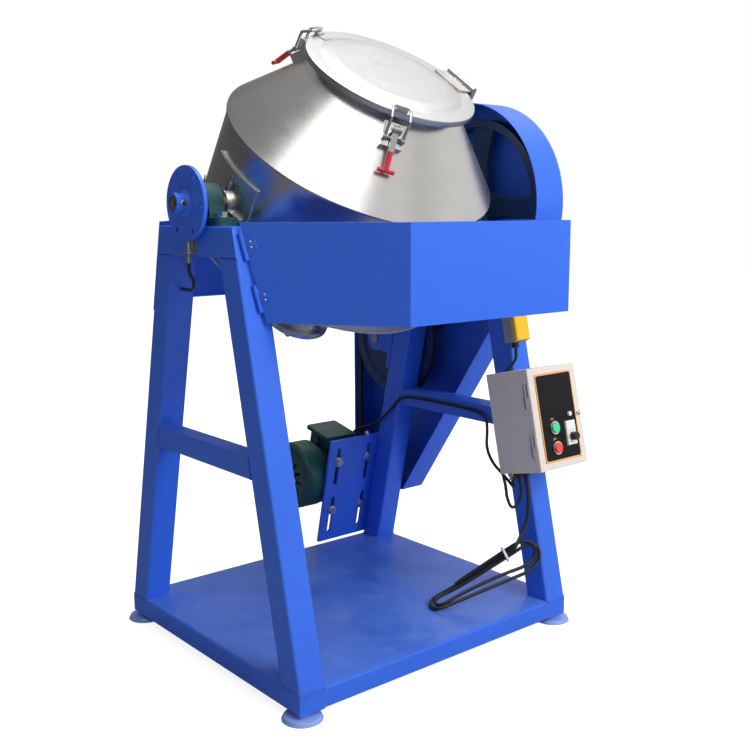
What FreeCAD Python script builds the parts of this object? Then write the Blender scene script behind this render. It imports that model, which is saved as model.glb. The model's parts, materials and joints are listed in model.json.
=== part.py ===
"""Drum mixer: a double-cone stainless drum that tumbles between two trestles, driven by two belt stages.

Frame: X along the drum's spin axis, -Y towards the operator, +Z up, floor at Z = 0.
The pieces are built about the centre of the base, and the finished machine is moved so that
the middle of its outer box stands over the origin. All sizes are millimetres.
"""
import FreeCAD
import Part
import math
import os

V = FreeCAD.Vector
X_AXIS = V(1, 0, 0)
Y_AXIS = V(0, 1, 0)
Z_AXIS = V(0, 0, 1)

# Base
base_width = 750.0
base_depth = 660.0
rail_width = 60.0
rail_height = 42.0
ledge_width = 15.0
ledge_thickness = 4.0
deck_thickness = 4.0
deck_gap = 0.5
foot_radius = 40.0
foot_pad_thickness = 8.0
foot_height = 14.0
foot_stud_radius = 8.0
tube_wall = 3.0
tube_corner = 5.0

# Trestles
trestle_height = 906.0
trestle_top_depth = 278.0
tube_width = 60.0
tube_depth = 60.0
left_cross_height = 45.0
left_cross_width = 40.0
right_cross_height = 40.0
cross_top = 480.0

# Bearings on the trestles
shaft_radius = 15.0
bearing_centre_height = 42.9
housing_length = 165.0
housing_width = 48.0
housing_base_thickness = 16.0
housing_arch_radius = 40.0
housing_arch_width = 36.0
housing_cheek = 45.0
insert_radius = 31.0
insert_width = 19.0
inner_ring_radius = 22.0
inner_ring_width = 38.0
running_clearance = 0.1
bearing_bolt_spacing = 121.0
bolt_radius = 6.0
bolt_head_radius = 10.5
bolt_head_height = 8.0
washer_radius = 13.0
washer_thickness = 2.5

# Drum, in its own upright frame with its centre on the spin axis
drum_turn = 34.0
drum_centre_x = -12.0
drum_radius = 288.0
drum_sheet = 3.0
cylinder_low = -126.0
cylinder_high = 138.0
mouth_radius = 142.0
mouth_height = 298.0
mouth_flange_radius = 174.0
mouth_flange_thickness = 5.0
outlet_radius = 62.0
outlet_top = -284.0
outlet_face = -303.0
outlet_flange_radius = 79.0
outlet_flange_thickness = 8.0
seam_lip = 2.0
seam_height = 3.0
pad_size = 150.0
pad_thickness = 5.0
boss_radius = 30.0
left_boss_length = 9.0
right_boss_length = 30.0
gusset_thickness = 6.0
gusset_reach = 62.0

# Lid
lid_radius = 181.0
lid_sheet = 3.0
lid_skirt = 12.0
lid_dish_radius = 148.0
lid_dish_rise = 6.0
lid_gap = 0.4
seal_radius = 158.0
seal_width = 14.0
seal_thickness = 3.0
hinge_axis_out = 12.0
hinge_width = 90.0
hinge_knuckle_radius = 6.0
hinge_pin_radius = 3.0
lid_notch = 10.0

# Latches
latch_angles = {"front": -120.0, "rear": 120.0}
latch_pivot_radius = 199.5
latch_pivot_height = 276.3
latch_pin_radius = 3.0
latch_block_width = 44.0
latch_block_thickness = 17.0
latch_block_start = 34.0
latch_block_length = 48.0
latch_ear_gap = 1.0
latch_ear_thickness = 3.0
latch_ear_radius = 8.0
bail_pin_out = 5.5
bail_pin_drop = 15.5
bail_rod_radius = 3.0
bail_spacing = 36.0
bail_bend = 6.0
bail_eye_half = 4.0
bail_eye_radius = 5.0
bail_bar_radius_from_axis = 178.0
keeper_width = 24.0
keeper_thickness = 2.5
keeper_lip = 1.2
handle_width = 12.0
handle_thickness = 5.0
handle_hub_radius = 7.0
handle_tilt = 33.0
handle_lever_length = 42.0
grip_length = 36.0
grip_radius = 5.5
grip_bar_length = 34.0
grip_bar_radius = 4.0

# Index disc on the outer end of the left shaft
disc_face = -392.0
disc_thickness = 8.0
disc_radius = 72.5
disc_hole_circle = 60.0
disc_hole_radius = 5.5
disc_hole_start = -4.0
disc_hub_radius = 20.5
disc_hub_end = -419.0
shaft_left_end = -415.0

# Belt drive
pulley_radius = 200.0
pulley_rim = 18.0
pulley_near = 400.0
pulley_width = 34.0
pulley_hub_radius = 36.0
spoke_width = 50.0
spoke_thickness = 14.0
spoke_count = 4
spoke_turn = 5.0
belt_top_width = 13.0
belt_height = 9.0
groove_pitch = 16.0
jack_y = 275.0
jack_z = 602.0
jack_large_radius = 153.0
jack_small_radius = 40.0
jack_near = 379.0
jack_large_width = 18.0
jack_shaft_radius = 12.0
jack_block_half = 60.0
jack_block_thickness = 10.0
jack_web_half = 24.0
jack_barrel_radius = 32.0
jack_recess_radius = 34.0
jack_rim = 24.0
jack_recess_depth = 5.0
motor_pulley_radius = 40.0
belt_clearance = 0.4

# Belt guard
guard_near = 377.0
guard_near_top = 358.0
guard_far = 448.0
guard_sheet = 2.0
guard_radius = 235.0
guard_jack_radius = 165.0
guard_floor_depth = 204.0
guard_knee_over_shaft = 40.0
guard_low_front_rise = 26.0
guard_below_motor = 79.4
guard_behind_motor = 50.8

# Drum guards in front and behind
bay_over_beam = 8.0
bay_height = 185.0
bay_depth = 418.0
bay_left = -183.0
bay_right = 252.0
bay_left_inset = 20.4
bay_right_inset = 39.8
bay_sheet = 2.0
bay_lip = 12.0
bay_lip_setback = 45.0
bay_leg_gap = 9.0
hinge_stand_off = 5.0
hinge_length = 52.0
hinge_leaf_width = 26.0
hinge_leaf_thickness = 1.5
hinge_barrel_radius = 4.5
hinge_bar_radius = 2.5
guard_hinge_places = (0.10, 0.62)

guard_screw_radius = 4.0
guard_screw_head = 6.5
guard_screw_head_height = 5.0
rear_guard_screw_places = (26.0, 96.0)
rear_guard_screw_inset = 9.0
guard_flange_margin = 14.0
guard_tab_length = 56.0
guard_tab_width = 30.0
guard_tab_front_drop = 134.0
guard_tab_rear_inset = 30.6

# Motor and its plate, measured along the leaning rear leg
plate_left = 160.0
plate_low = 6.0
plate_high = 297.0
plate_thickness = 8.0
motor_height = 90.0
motor_foot_first = 190.0
motor_foot_pitch = 100.0
motor_foot_span = 140.0
motor_foot_edge = 13.0
motor_centre_up = 166.0
motor_barrel_radius = 76.0
motor_fin_radius = 86.0
motor_fin_count = 28
motor_fin_thickness = 3.0
motor_shaft_radius = 12.0
motor_shoulder = 346.0
motor_shaft_end = 397.0
motor_body_length = 170.0
fan_cover_length = 66.0
terminal_from_fan = 58.0
terminal_size = 80.0
terminal_neck = 22.0
terminal_overhang = 9.0
terminal_lid = 10.0
gland_length = 16.0
gland_radius = 10.0
slot_width = 12.0
slot_length = 106.0
slot_drop = 14.0

# Control box, measured along the leaning front leg
box_left = 226.0
box_right = 382.0
box_low = 309.0
box_high = 531.0
box_depth = 108.0
box_wall = 2.0
door_depth = 12.0
door_gap = 0.5
box_hinge_radius = 3.0
box_hinge_pin = 1.5
box_hinge_clearance = 0.2
box_hinge_leaf = 1.5
box_hinge_reach = 8.0
box_hinge_length = 52.0
box_hinge_places = (0.14, 0.62)
box_gland_radius = 8.0
box_gland_nut = 10.0
box_gland_length = 14.0
box_gland_back = 30.0
box_gland_places = (232.0, 253.0, 274.0)
panel_margin_side = 18.5
panel_margin_low = 16.0
panel_margin_high = 15.0
panel_thickness = 1.0
button_x = 285.0
green_up = 397.5
red_up = 353.5
button_radius = 11.0
bezel_radius = 14.5
bezel_height = 4.0
button_height = 8.0
button_travel = 4.0
timer_x = 334.0
timer_up = 380.5
timer_width = 30.0
timer_height = 53.0
timer_thickness = 6.0
knob_radius = 9.0
knob_height = 14.0
lamp_x = 338.5
lamp_up = 421.5
lamp_radius = 5.0

# Interlock switch on the right front leg
switch_left = 300.0
switch_right = 346.0
switch_low = 594.0
switch_high = 672.0
switch_depth = 30.0
switch_cover_depth = 10.0
switch_gland_x = 318.0
switch_gland_length = 12.0
switch_gland_radius = 8.0

# Cables
cable_radius = 3.5
gland_clearance = 0.3
power_cord_radius = 4.0
cable_drop = 20.0
cable_inside = 5.0
sensor_radius = 6.0
sensor_length = 40.0
sensor_hole_x = -345.0
sensor_hole_z = 776.0
sensor_cable_middle = [(-374.0, 6.0, 800.0), (-362.0, 30.0, 784.0), (-351.0, 58.0, 776.0)]
cross_cable_x = 309.0
cross_cable_ends = (124.0, -100.0)
cross_cable_drop = 13.0
# Cable points in the rear leg's frame, then in the front leg's
motor_cable_rear = [
    (306.0, 78.7, 281.6), (302.0, 24.1, 312.3), (303.0, -7.0, 333.7), (309.0, -45.9, 388.5),
    (309.0, -68.0, 427.3)
]
motor_cable_front = [
    (309.0, 99.9, 431.4), (300.0, 94.7, 399.5), (276.0, 82.2, 363.9), (266.0, 59.3, 329.0),
    (260.0, 24.5, 301.7), (250.0, -4.1, 283.0)
]
switch_cable_points = [
    (308.0, -7.8, 545.6), (296.0, 15.9, 522.2), (266.0, 20.2, 439.1), (244.0, 14.6, 345.6),
    (240.0, 6.5, 303.8), (236.0, -0.6, 280.7), (236.0, 1.2, 254.5), (242.0, -2.1, 228.1),
    (259.0, -7.9, 236.0), (263.0, -18.6, 256.2)
]
power_cord_points = [
    (279.0, -23.8, 251.9), (283.0, -10.6, 206.7), (273.0, -3.2, 178.6), (249.0, 3.6, 148.4)
]
# The hank's two ends on its middle line, its half widths, their directions and its turns
hank_low_end = (92.0, -183.0, 61.0)
hank_high_end = (290.0, -305.0, 172.0)
hank_lead = 14.0
hank_low_half = 31.0
hank_high_half = 26.0
hank_low_side = (0.525, 0.851, 0.0)
hank_high_side = (0.23, 0.14, 0.96)
hank_turns = [
    (0.62, 1.0, 0), (0.0, 1.0, 0), (0.0, -1.0, 0), (1.0, -1.0, 0), (1.0, 0.58, 0), (0.04, 0.58, 0),
    (0.04, -0.58, 0), (0.95, -0.58, 8.0), (0.97, 0.85, 13.0), (0.12, 0.8, 13.0)
]

half_width = base_width / 2
half_depth = base_depth / 2
base_top = foot_height + rail_height
half_top = trestle_top_depth / 2
lean = (half_depth - half_top) / (trestle_height - base_top)
lean_angle = math.degrees(math.atan(lean))
beam_low = trestle_height - tube_depth
spin_z = trestle_height + bearing_centre_height
bearing_x = half_width - tube_width / 2
bay_high = trestle_height + bay_over_beam
bay_low = bay_high - bay_height
bay_run = bay_depth - half_depth + lean * ((bay_low + bay_high) / 2 - base_top)
bay_slope = (half_width - bay_left_inset + bay_left) / bay_run
bay_right_slope = (half_width - bay_right_inset - bay_right) / bay_run
lid_underside = mouth_height + seal_thickness


def box(low, high):
    """Axis-aligned box between two corners."""
    size = V(*high) - V(*low)
    return Part.makeBox(size.x, size.y, size.z, V(*low))


def rod(start, end, radius):
    """Round bar between two points."""
    span = V(*end) - V(*start)
    return Part.makeCylinder(radius, span.Length, V(*start), span)


def tube(start, end, outer, inner):
    """Round bar with a bore along its whole length."""
    return rod(start, end, outer).cut(rod(start, end, inner))


def polygon_face(points):
    """Flat face through a closed list of points."""
    ring = [V(*p) for p in points]
    return Part.Face(Part.makePolygon(ring + ring[:1]))


def profile_x(points, x_low, x_high):
    """Prism with an outline in Y and Z, between two X planes."""
    return polygon_face([(x_low, y, z) for y, z in points]).extrude(V(x_high - x_low, 0, 0))


def turned(points):
    """Solid of revolution about Z from an outline of radius and height."""
    return polygon_face([(r, 0, z) for r, z in points]).revolve(V(0, 0, 0), Z_AXIS, 360)


def turned_x(points, y=0.0, z=0.0):
    """Solid of revolution about a line along X, from an outline of X and radius."""
    face = polygon_face([(x, y, z + r) for x, r in points])
    return face.revolve(V(0, y, z), X_AXIS, 360)


def fused(shapes):
    """One solid from shapes that touch or overlap."""
    first = shapes[0]
    return first.fuse(shapes[1:]).removeSplitter() if len(shapes) > 1 else first


def hex_bolt(base, direction, shank_length):
    """Hexagon bolt with a washer: the head stands on base, the shank runs against direction."""
    axis = V(*direction)
    axis.normalize()
    foot = V(*base)
    washer = Part.makeCylinder(washer_radius, washer_thickness, foot, axis)
    corners = [V(bolt_head_radius * math.cos(a), bolt_head_radius * math.sin(a), 0)
               for a in (math.radians(60 * i) for i in range(6))]
    head = Part.Face(Part.makePolygon(corners + corners[:1])).extrude(V(0, 0, bolt_head_height))
    head.Placement = FreeCAD.Placement(foot + axis * washer_thickness, FreeCAD.Rotation(Z_AXIS, axis))
    shank = Part.makeCylinder(bolt_radius, shank_length, foot - axis * shank_length, axis)
    return fused([washer, head, shank])


def leg_out(z):
    """Distance of a leg's outer face from the spin plane at a height."""
    return half_depth - lean * (z - base_top)


def on_front_leg(shape):
    """Move a shape from the front leg's own frame: local -Y outwards, Z along the leg, zero at the base."""
    shape = shape.copy()
    shape.rotate(V(0, 0, 0), X_AXIS, -lean_angle)
    shape.translate(V(0, -half_depth, base_top))
    return shape


def on_rear_leg(shape):
    """Move a shape from the rear leg's own frame: local +Y outwards, Z along the leg, zero at the base."""
    shape = shape.copy()
    shape.rotate(V(0, 0, 0), X_AXIS, lean_angle)
    shape.translate(V(0, half_depth, base_top))
    return shape


def front_machine_point(x, y, z):
    """Machine point of a local point in the front leg's frame."""
    a = math.radians(lean_angle)
    return x, -half_depth + y * math.cos(a) + z * math.sin(a), base_top - y * math.sin(a) + z * math.cos(a)


def rear_leg_point(y, z):
    """Local Y and Z of a machine point in the rear leg's frame."""
    a = math.radians(lean_angle)
    dy = y - half_depth
    dz = z - base_top
    return dy * math.cos(a) + dz * math.sin(a), -dy * math.sin(a) + dz * math.cos(a)


def rear_machine_point(y, z):
    """Machine Y and Z of a local point in the rear leg's frame."""
    a = math.radians(lean_angle)
    return half_depth + y * math.cos(a) - z * math.sin(a), base_top + y * math.sin(a) + z * math.cos(a)


def on_drum(shape):
    """Move a shape from the drum's upright frame to the machine."""
    shape = shape.copy()
    shape.rotate(V(0, 0, 0), X_AXIS, drum_turn)
    shape.translate(V(drum_centre_x, 0, spin_z))
    return shape


def rounded(shape, radius, keep):
    """Round the straight edges of a prism that keep() accepts."""
    edges = [e for e in shape.Edges if keep(e)]
    return shape.makeFillet(radius, edges) if edges else shape


def long_edge(axis, least):
    """Test for straight edges that run close to an axis and are longer than least."""
    def keep(edge):
        span = edge.Vertexes[-1].Point - edge.Vertexes[0].Point
        return edge.Length > least and abs(span.dot(axis)) > 0.9 * edge.Length
    return keep


def base_rails():
    """Four hollow rails with a ledge inside for the deck."""
    inner_x = half_width - rail_width
    inner_y = half_depth - rail_width
    ledge_high = base_top - deck_thickness
    ledge_low = ledge_high - ledge_thickness
    rails = []
    for side in (-1, 1):
        xs = sorted((side * inner_x, side * half_width))
        outer = box((xs[0], -half_depth, foot_height), (xs[1], half_depth, base_top))
        outer = rounded(outer, tube_corner, long_edge(Y_AXIS, base_depth / 2))
        hollow = box(
            (xs[0] + tube_wall, -half_depth + tube_wall, foot_height + tube_wall),
            (xs[1] - tube_wall, half_depth - tube_wall, base_top - tube_wall),
        )
        lx = sorted((side * inner_x, side * (inner_x - ledge_width)))
        ledge = box((lx[0], -inner_y, ledge_low), (lx[1], inner_y, ledge_high))
        rails.append(outer.cut(hollow).fuse(ledge).removeSplitter())
    for side in (-1, 1):
        ys = sorted((side * inner_y, side * half_depth))
        outer = box((-inner_x, ys[0], foot_height), (inner_x, ys[1], base_top))
        outer = rounded(outer, tube_corner, long_edge(X_AXIS, base_width / 2))
        hollow = box(
            (-inner_x - 1, ys[0] + tube_wall, foot_height + tube_wall),
            (inner_x + 1, ys[1] - tube_wall, base_top - tube_wall),
        )
        ly = sorted((side * inner_y, side * (inner_y - ledge_width)))
        ledge = box((-inner_x + ledge_width, ly[0], ledge_low), (inner_x - ledge_width, ly[1], ledge_high))
        rails.append(outer.cut(hollow).fuse(ledge).removeSplitter())
    for i, rail in enumerate(rails):
        for x, y in foot_places():
            rail = rail.cut(rod((x, y, foot_height - 1), (x, y, foot_height + tube_wall + 1), foot_stud_radius))
        rails[i] = rail
    return Part.makeCompound(rails)


def deck_plate():
    """Plate let in between the rails."""
    x = half_width - rail_width - deck_gap
    y = half_depth - rail_width - deck_gap
    return box((-x, -y, base_top - deck_thickness), (x, y, base_top))


def foot_places():
    """Centres of the four feet."""
    inset = foot_radius * 0.5
    return [(sx * (half_width - inset), sy * (half_depth - inset)) for sx in (-1, 1) for sy in (-1, 1)]


def feet():
    """Four levelling feet: a disc, a neck and a stud into the rail."""
    pads = []
    for x, y in foot_places():
        disc = Part.makeCone(foot_radius, foot_radius * 0.9, foot_pad_thickness, V(x, y, 0))
        neck = rod((x, y, foot_pad_thickness), (x, y, foot_height), foot_stud_radius * 1.6)
        stud = rod((x, y, foot_height), (x, y, foot_height + tube_wall + 8), foot_stud_radius)
        pads.append(fused([disc, neck, stud]))
    return Part.makeCompound(pads)


def rear_guard_screws():
    """Places of the rear guard's screws on the rear legs' outer faces."""
    x = half_width - rear_guard_screw_inset
    heights = [bay_low + up for up in rear_guard_screw_places]
    return [V(sign * x, leg_out(z), z) for sign in (-1, 1) for z in heights]


def leg(x_low, side):
    """Hollow leaning leg between the base and the top beam; side is -1 in front and 1 behind."""
    thick = tube_depth * math.sqrt(1 + lean * lean)
    wall = tube_wall * math.sqrt(1 + lean * lean)
    def outline(skin, extra):
        low = base_top - extra
        high = beam_low + extra
        return [
            (side * (leg_out(low) - skin), low),
            (side * (leg_out(low) - thick + skin), low),
            (side * (leg_out(high) - thick + skin), high),
            (side * (leg_out(high) - skin), high),
        ]
    outer = profile_x(outline(0, 0), x_low, x_low + tube_width)
    outer = rounded(outer, tube_corner, long_edge(Z_AXIS, tube_width * 2))
    hollow = profile_x(outline(wall, 1), x_low + tube_wall, x_low + tube_width - tube_wall)
    body = outer.cut(hollow)
    if side > 0:
        normal = V(0, 1, lean)
        normal.normalize()
        for place in rear_guard_screws():
            body = body.cut(Part.makeCylinder(guard_screw_radius, tube_wall + 2, place + normal, normal * -1))
    if x_low < 0 and side > 0:
        front_face = leg_out(sensor_hole_z) - thick
        hole = rod((sensor_hole_x, front_face - 10, sensor_hole_z),
                   (sensor_hole_x, front_face + wall + 5, sensor_hole_z), cable_radius + gland_clearance)
        body = body.cut(hole)
    if x_low > 0:
        for tab_side, y, z in belt_guard_tabs():
            if tab_side == side:
                body = body.cut(rod((half_width - tube_wall - 1, y, z), (half_width + 1, y, z), guard_screw_radius))
    return body


def top_beam(x_low):
    """Hollow beam on a trestle, with its ends cut flush to the legs and holes for the bearing bolts."""
    ends = [
        (-leg_out(beam_low), beam_low),
        (leg_out(beam_low), beam_low),
        (leg_out(trestle_height), trestle_height),
        (-leg_out(trestle_height), trestle_height),
    ]
    outer = profile_x(ends, x_low, x_low + tube_width)
    outer = rounded(outer, tube_corner, long_edge(Y_AXIS, tube_width * 2))
    inside = half_top - tube_wall
    hollow = box(
        (x_low + tube_wall, -inside, beam_low + tube_wall),
        (x_low + tube_width - tube_wall, inside, trestle_height - tube_wall),
    )
    beam = outer.cut(hollow)
    x = x_low + tube_width / 2
    for y in (-bearing_bolt_spacing / 2, bearing_bolt_spacing / 2):
        beam = beam.cut(rod((x, y, trestle_height - tube_wall - 1), (x, y, trestle_height + 1), bolt_radius))
    return beam


def cross_tube(x_low, x_high, height):
    """Hollow tie between the two legs of a trestle."""
    thick = tube_depth * math.sqrt(1 + lean * lean)
    low = cross_top - height
    def outline(skin, reach):
        return [
            (-(leg_out(low + skin) - thick) - reach, low + skin),
            (leg_out(low + skin) - thick + reach, low + skin),
            (leg_out(cross_top - skin) - thick + reach, cross_top - skin),
            (-(leg_out(cross_top - skin) - thick) - reach, cross_top - skin),
        ]
    outer = profile_x(outline(0, 0), x_low, x_high)
    hollow = profile_x(outline(tube_wall, 2), x_low + tube_wall, x_high - tube_wall)
    return outer.cut(hollow)


def trestle(side):
    """Legs of one trestle: side -1 is left, 1 is right."""
    x_low = -half_width if side < 0 else half_width - tube_width
    return Part.makeCompound([leg(x_low, -1), leg(x_low, 1)])


def top_beams():
    return Part.makeCompound([top_beam(-half_width), top_beam(half_width - tube_width)])


def cross_tubes():
    left = cross_tube(-half_width, -half_width + left_cross_width, left_cross_height)
    right = cross_tube(half_width - tube_width, half_width, right_cross_height)
    return Part.makeCompound([left, right])


def bearing_housing(x):
    """Pillow block: a foot with rounded ends, an arch around the insert and a grease boss."""
    foot = box(
        (x - housing_width / 2, -housing_length / 2, trestle_height),
        (x + housing_width / 2, housing_length / 2, trestle_height + housing_base_thickness),
    )
    foot = rounded(foot, 12.0, long_edge(Z_AXIS, housing_base_thickness - 1))
    low = x - housing_arch_width / 2
    high = x + housing_arch_width / 2
    arch = rod((low, 0, spin_z), (high, 0, spin_z), housing_arch_radius)
    foot_top = trestle_height + housing_base_thickness
    cheeks = profile_x(
        [(-housing_cheek, foot_top - 4), (housing_cheek, foot_top - 4), (housing_cheek, foot_top),
         (housing_arch_radius - 1, spin_z), (-housing_arch_radius + 1, spin_z), (-housing_cheek, foot_top)],
        low, high,
    )
    grease = rod((x, 0, spin_z + housing_arch_radius - 2), (x, 0, spin_z + housing_arch_radius + 5), 5.0)
    body = fused([foot, arch, cheeks, grease])
    body = body.cut(rod((x - housing_width, 0, spin_z), (x + housing_width, 0, spin_z), insert_radius))
    for y in (-bearing_bolt_spacing / 2, bearing_bolt_spacing / 2):
        body = body.cut(rod((x, y, trestle_height - 1), (x, y, foot_top + 1), bolt_radius))
    return body


def bearing_pair(make):
    """The same piece over both trestles."""
    return Part.makeCompound([make(-bearing_x), make(bearing_x)])


def bearing_insert(x):
    bore = inner_ring_radius + running_clearance
    return tube((x - insert_width / 2, 0, spin_z), (x + insert_width / 2, 0, spin_z), insert_radius, bore)


def bearing_inner_ring(x):
    """Inner ring with two set screws; it turns with the shaft."""
    half = inner_ring_width / 2
    ring = tube((x - half, 0, spin_z), (x + half, 0, spin_z), inner_ring_radius, shaft_radius)
    return ring


def bearing_bolts():
    bolts = []
    for x in (-bearing_x, bearing_x):
        for y in (-bearing_bolt_spacing / 2, bearing_bolt_spacing / 2):
            seat = trestle_height + housing_base_thickness
            bolts.append(hex_bolt((x, y, seat), (0, 0, 1), housing_base_thickness + tube_wall + 6))
    return Part.makeCompound(bolts)


def drum_shell():
    """Sheet body in four pieces: upper cone with the mouth flange, cylinder, lower cone and outlet neck."""
    t = drum_sheet
    low_run = drum_radius - outlet_radius
    high_run = drum_radius - mouth_radius
    low_rise = t * math.hypot(low_run, cylinder_low - outlet_top) / low_run - t
    high_drop = t * math.hypot(high_run, mouth_height - cylinder_high) / high_run - t
    low_inside = drum_radius - t - low_rise * low_run / (cylinder_low - outlet_top)
    seam = cylinder_high - seam_height
    flange_low = mouth_height - mouth_flange_thickness
    upper = turned([
        (drum_radius - t, seam), (drum_radius + seam_lip, seam), (drum_radius + seam_lip, cylinder_high),
        (mouth_radius, flange_low), (mouth_flange_radius, flange_low), (mouth_flange_radius, mouth_height),
        (mouth_radius - t, mouth_height), (mouth_radius - t, flange_low - high_drop),
        (drum_radius - t, cylinder_high - high_drop),
    ])
    band = tube((0, 0, cylinder_low), (0, 0, seam), drum_radius, drum_radius - t)
    lower = turned([
        (outlet_radius, outlet_top), (drum_radius, cylinder_low), (low_inside, cylinder_low),
        (outlet_radius - t, outlet_top + low_rise), (outlet_radius - t, outlet_top),
    ])
    neck = tube((0, 0, outlet_face), (0, 0, outlet_top), outlet_radius, outlet_radius - t)
    foot = outlet_face - outlet_flange_thickness
    ring = tube((0, 0, foot), (0, 0, outlet_face), outlet_flange_radius, outlet_radius - t)
    return Part.makeCompound([on_drum(p) for p in (upper, band, lower, fused([neck, ring]))])


def outlet_cap():
    """Blank cover on the outlet flange with four bolts."""
    face = outlet_face - outlet_flange_thickness
    cap = rod((0, 0, face - 6), (0, 0, face), outlet_flange_radius)
    solids = [cap]
    for i in range(4):
        a = math.radians(45 + 90 * i)
        r = outlet_flange_radius - 9
        x = r * math.cos(a)
        y = r * math.sin(a)
        solids.append(rod((x, y, face - 12), (x, y, face - 6), 6.0))
    return on_drum(fused(solids))


def boss_end(side):
    """Outer end of a trunnion boss in the drum's frame."""
    length = left_boss_length if side < 0 else right_boss_length
    return drum_radius + pad_thickness + length


def trunnion(side):
    """Curved pad on the drum's side, a bored boss and four gussets."""
    skin = tube((0, 0, -pad_size / 2), (0, 0, pad_size / 2), drum_radius + pad_thickness, drum_radius)
    window = box((0, -pad_size / 2, -pad_size / 2), (drum_radius + 20, pad_size / 2, pad_size / 2))
    pad = skin.common(window)
    end = boss_end(side)
    boss = rod((drum_radius - 20, 0, 0), (end, 0, 0), boss_radius)
    ribs = []
    for turn in (0, 90, 180, 270):
        rib = polygon_face(
            [(drum_radius - 20, gusset_thickness / 2, 0), (end - 2, gusset_thickness / 2, 0),
             (end - 2, gusset_thickness / 2, boss_radius + 1),
             (drum_radius + pad_thickness, gusset_thickness / 2, gusset_reach),
             (drum_radius - 20, gusset_thickness / 2, gusset_reach)]
        ).extrude(V(0, -gusset_thickness, 0))
        rib.rotate(V(0, 0, 0), X_AXIS, turn)
        ribs.append(rib)
    core = Part.makeCylinder(drum_radius, pad_size * 2, V(0, 0, -pad_size))
    body = fused([boss] + ribs).cut(core)
    body = fused([pad, body]).cut(rod((drum_radius - 30, 0, 0), (end + 5, 0, 0), shaft_radius))
    if side < 0:
        body.rotate(V(0, 0, 0), Z_AXIS, 180)
    return on_drum(body)


def trunnions():
    return Part.makeCompound([trunnion(-1), trunnion(1)])


def shaft_right_end():
    return pulley_near + pulley_width + 2


def drum_shafts():
    """The two stub shafts, from the drum's skin to the disc hub and to the pulley."""
    skin = math.sqrt(drum_radius ** 2 - shaft_radius ** 2) + 3.0
    left = rod((drum_centre_x - skin, 0, spin_z), (shaft_left_end, 0, spin_z), shaft_radius)
    right = rod((drum_centre_x + skin, 0, spin_z), (shaft_right_end(), 0, spin_z), shaft_radius)
    return Part.makeCompound([left, right])


def index_disc():
    """Disc with six holes on a hub at the outer end of the left shaft."""
    disc = rod((disc_face, 0, spin_z), (disc_face + disc_thickness, 0, spin_z), disc_radius)
    hub = turned_x(
        [(disc_hub_end, shaft_radius), (disc_hub_end, disc_hub_radius), (disc_face - 6, disc_hub_radius),
         (disc_face, disc_hub_radius + 6), (disc_face + disc_thickness, disc_hub_radius + 6),
         (disc_face + disc_thickness + 14, disc_hub_radius), (disc_face + disc_thickness + 14, shaft_radius)],
        0, spin_z,
    )
    body = fused([disc, hub]).cut(rod((disc_hub_end - 1, 0, spin_z), (disc_face + 30, 0, spin_z), shaft_radius))
    for i in range(6):
        a = math.radians(disc_hole_start + 60 * i)
        y = -disc_hole_circle * math.cos(a)
        z = spin_z + disc_hole_circle * math.sin(a)
        body = body.cut(rod((disc_face - 1, y, z), (disc_face + disc_thickness + 1, y, z), disc_hole_radius))
    return body


def groove_outline(near, width, radius, count):
    """Rim outline of X and radius with V grooves for the belts."""
    centre = near + width / 2
    points = [(near, radius)]
    for i in range(count):
        c = centre + groove_pitch * (i - (count - 1) / 2)
        half = belt_top_width / 2 + belt_clearance
        depth = belt_height + belt_clearance
        points += [(c - half, radius), (c - half * 0.6, radius - depth), (c + half * 0.6, radius - depth),
                   (c + half, radius)]
    points.append((near + width, radius))
    return points


def drum_pulley():
    """Large spoked belt pulley with two grooves."""
    far = pulley_near + pulley_width
    rim = turned_x(
        groove_outline(pulley_near, pulley_width, pulley_radius, 2)
        + [(far, pulley_radius - pulley_rim), (pulley_near, pulley_radius - pulley_rim)],
        0, spin_z,
    )
    hub = tube((pulley_near - 6, 0, spin_z), (far + 2, 0, spin_z), pulley_hub_radius, shaft_radius)
    mid = pulley_near + pulley_width / 2
    pieces = [rim, hub]
    reach = pulley_radius - pulley_rim + 1
    for i in range(spoke_count):
        arm = polygon_face(
            [(mid - spoke_thickness / 2, -spoke_width / 2 - 6, pulley_hub_radius - 6),
             (mid - spoke_thickness / 2, spoke_width / 2 + 6, pulley_hub_radius - 6),
             (mid - spoke_thickness / 2, spoke_width / 2 - 4, reach * 0.55),
             (mid - spoke_thickness / 2, spoke_width / 2 + 8, reach),
             (mid - spoke_thickness / 2, -spoke_width / 2 - 8, reach),
             (mid - spoke_thickness / 2, -spoke_width / 2 + 4, reach * 0.55)]
        ).extrude(V(spoke_thickness, 0, 0))
        arm.rotate(V(0, 0, 0), X_AXIS, spoke_turn + 360 / spoke_count * i)
        arm.translate(V(0, 0, spin_z))
        pieces.append(arm)
    body = fused(pieces)
    return body.cut(rod((pulley_near - 20, 0, spin_z), (far + 20, 0, spin_z), shaft_radius))


def small_pulley(near, width, radius, count, bore, y, z, hub_near, hub_far):
    """Solid belt pulley with a hub."""
    far = near + width
    outline = groove_outline(near, width, radius, count) + [(far, bore), (near, bore)]
    body = turned_x(outline, y, z)
    hub = tube((hub_near, y, z), (hub_far, y, z), bore + 10, bore)
    return fused([body, hub])


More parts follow.
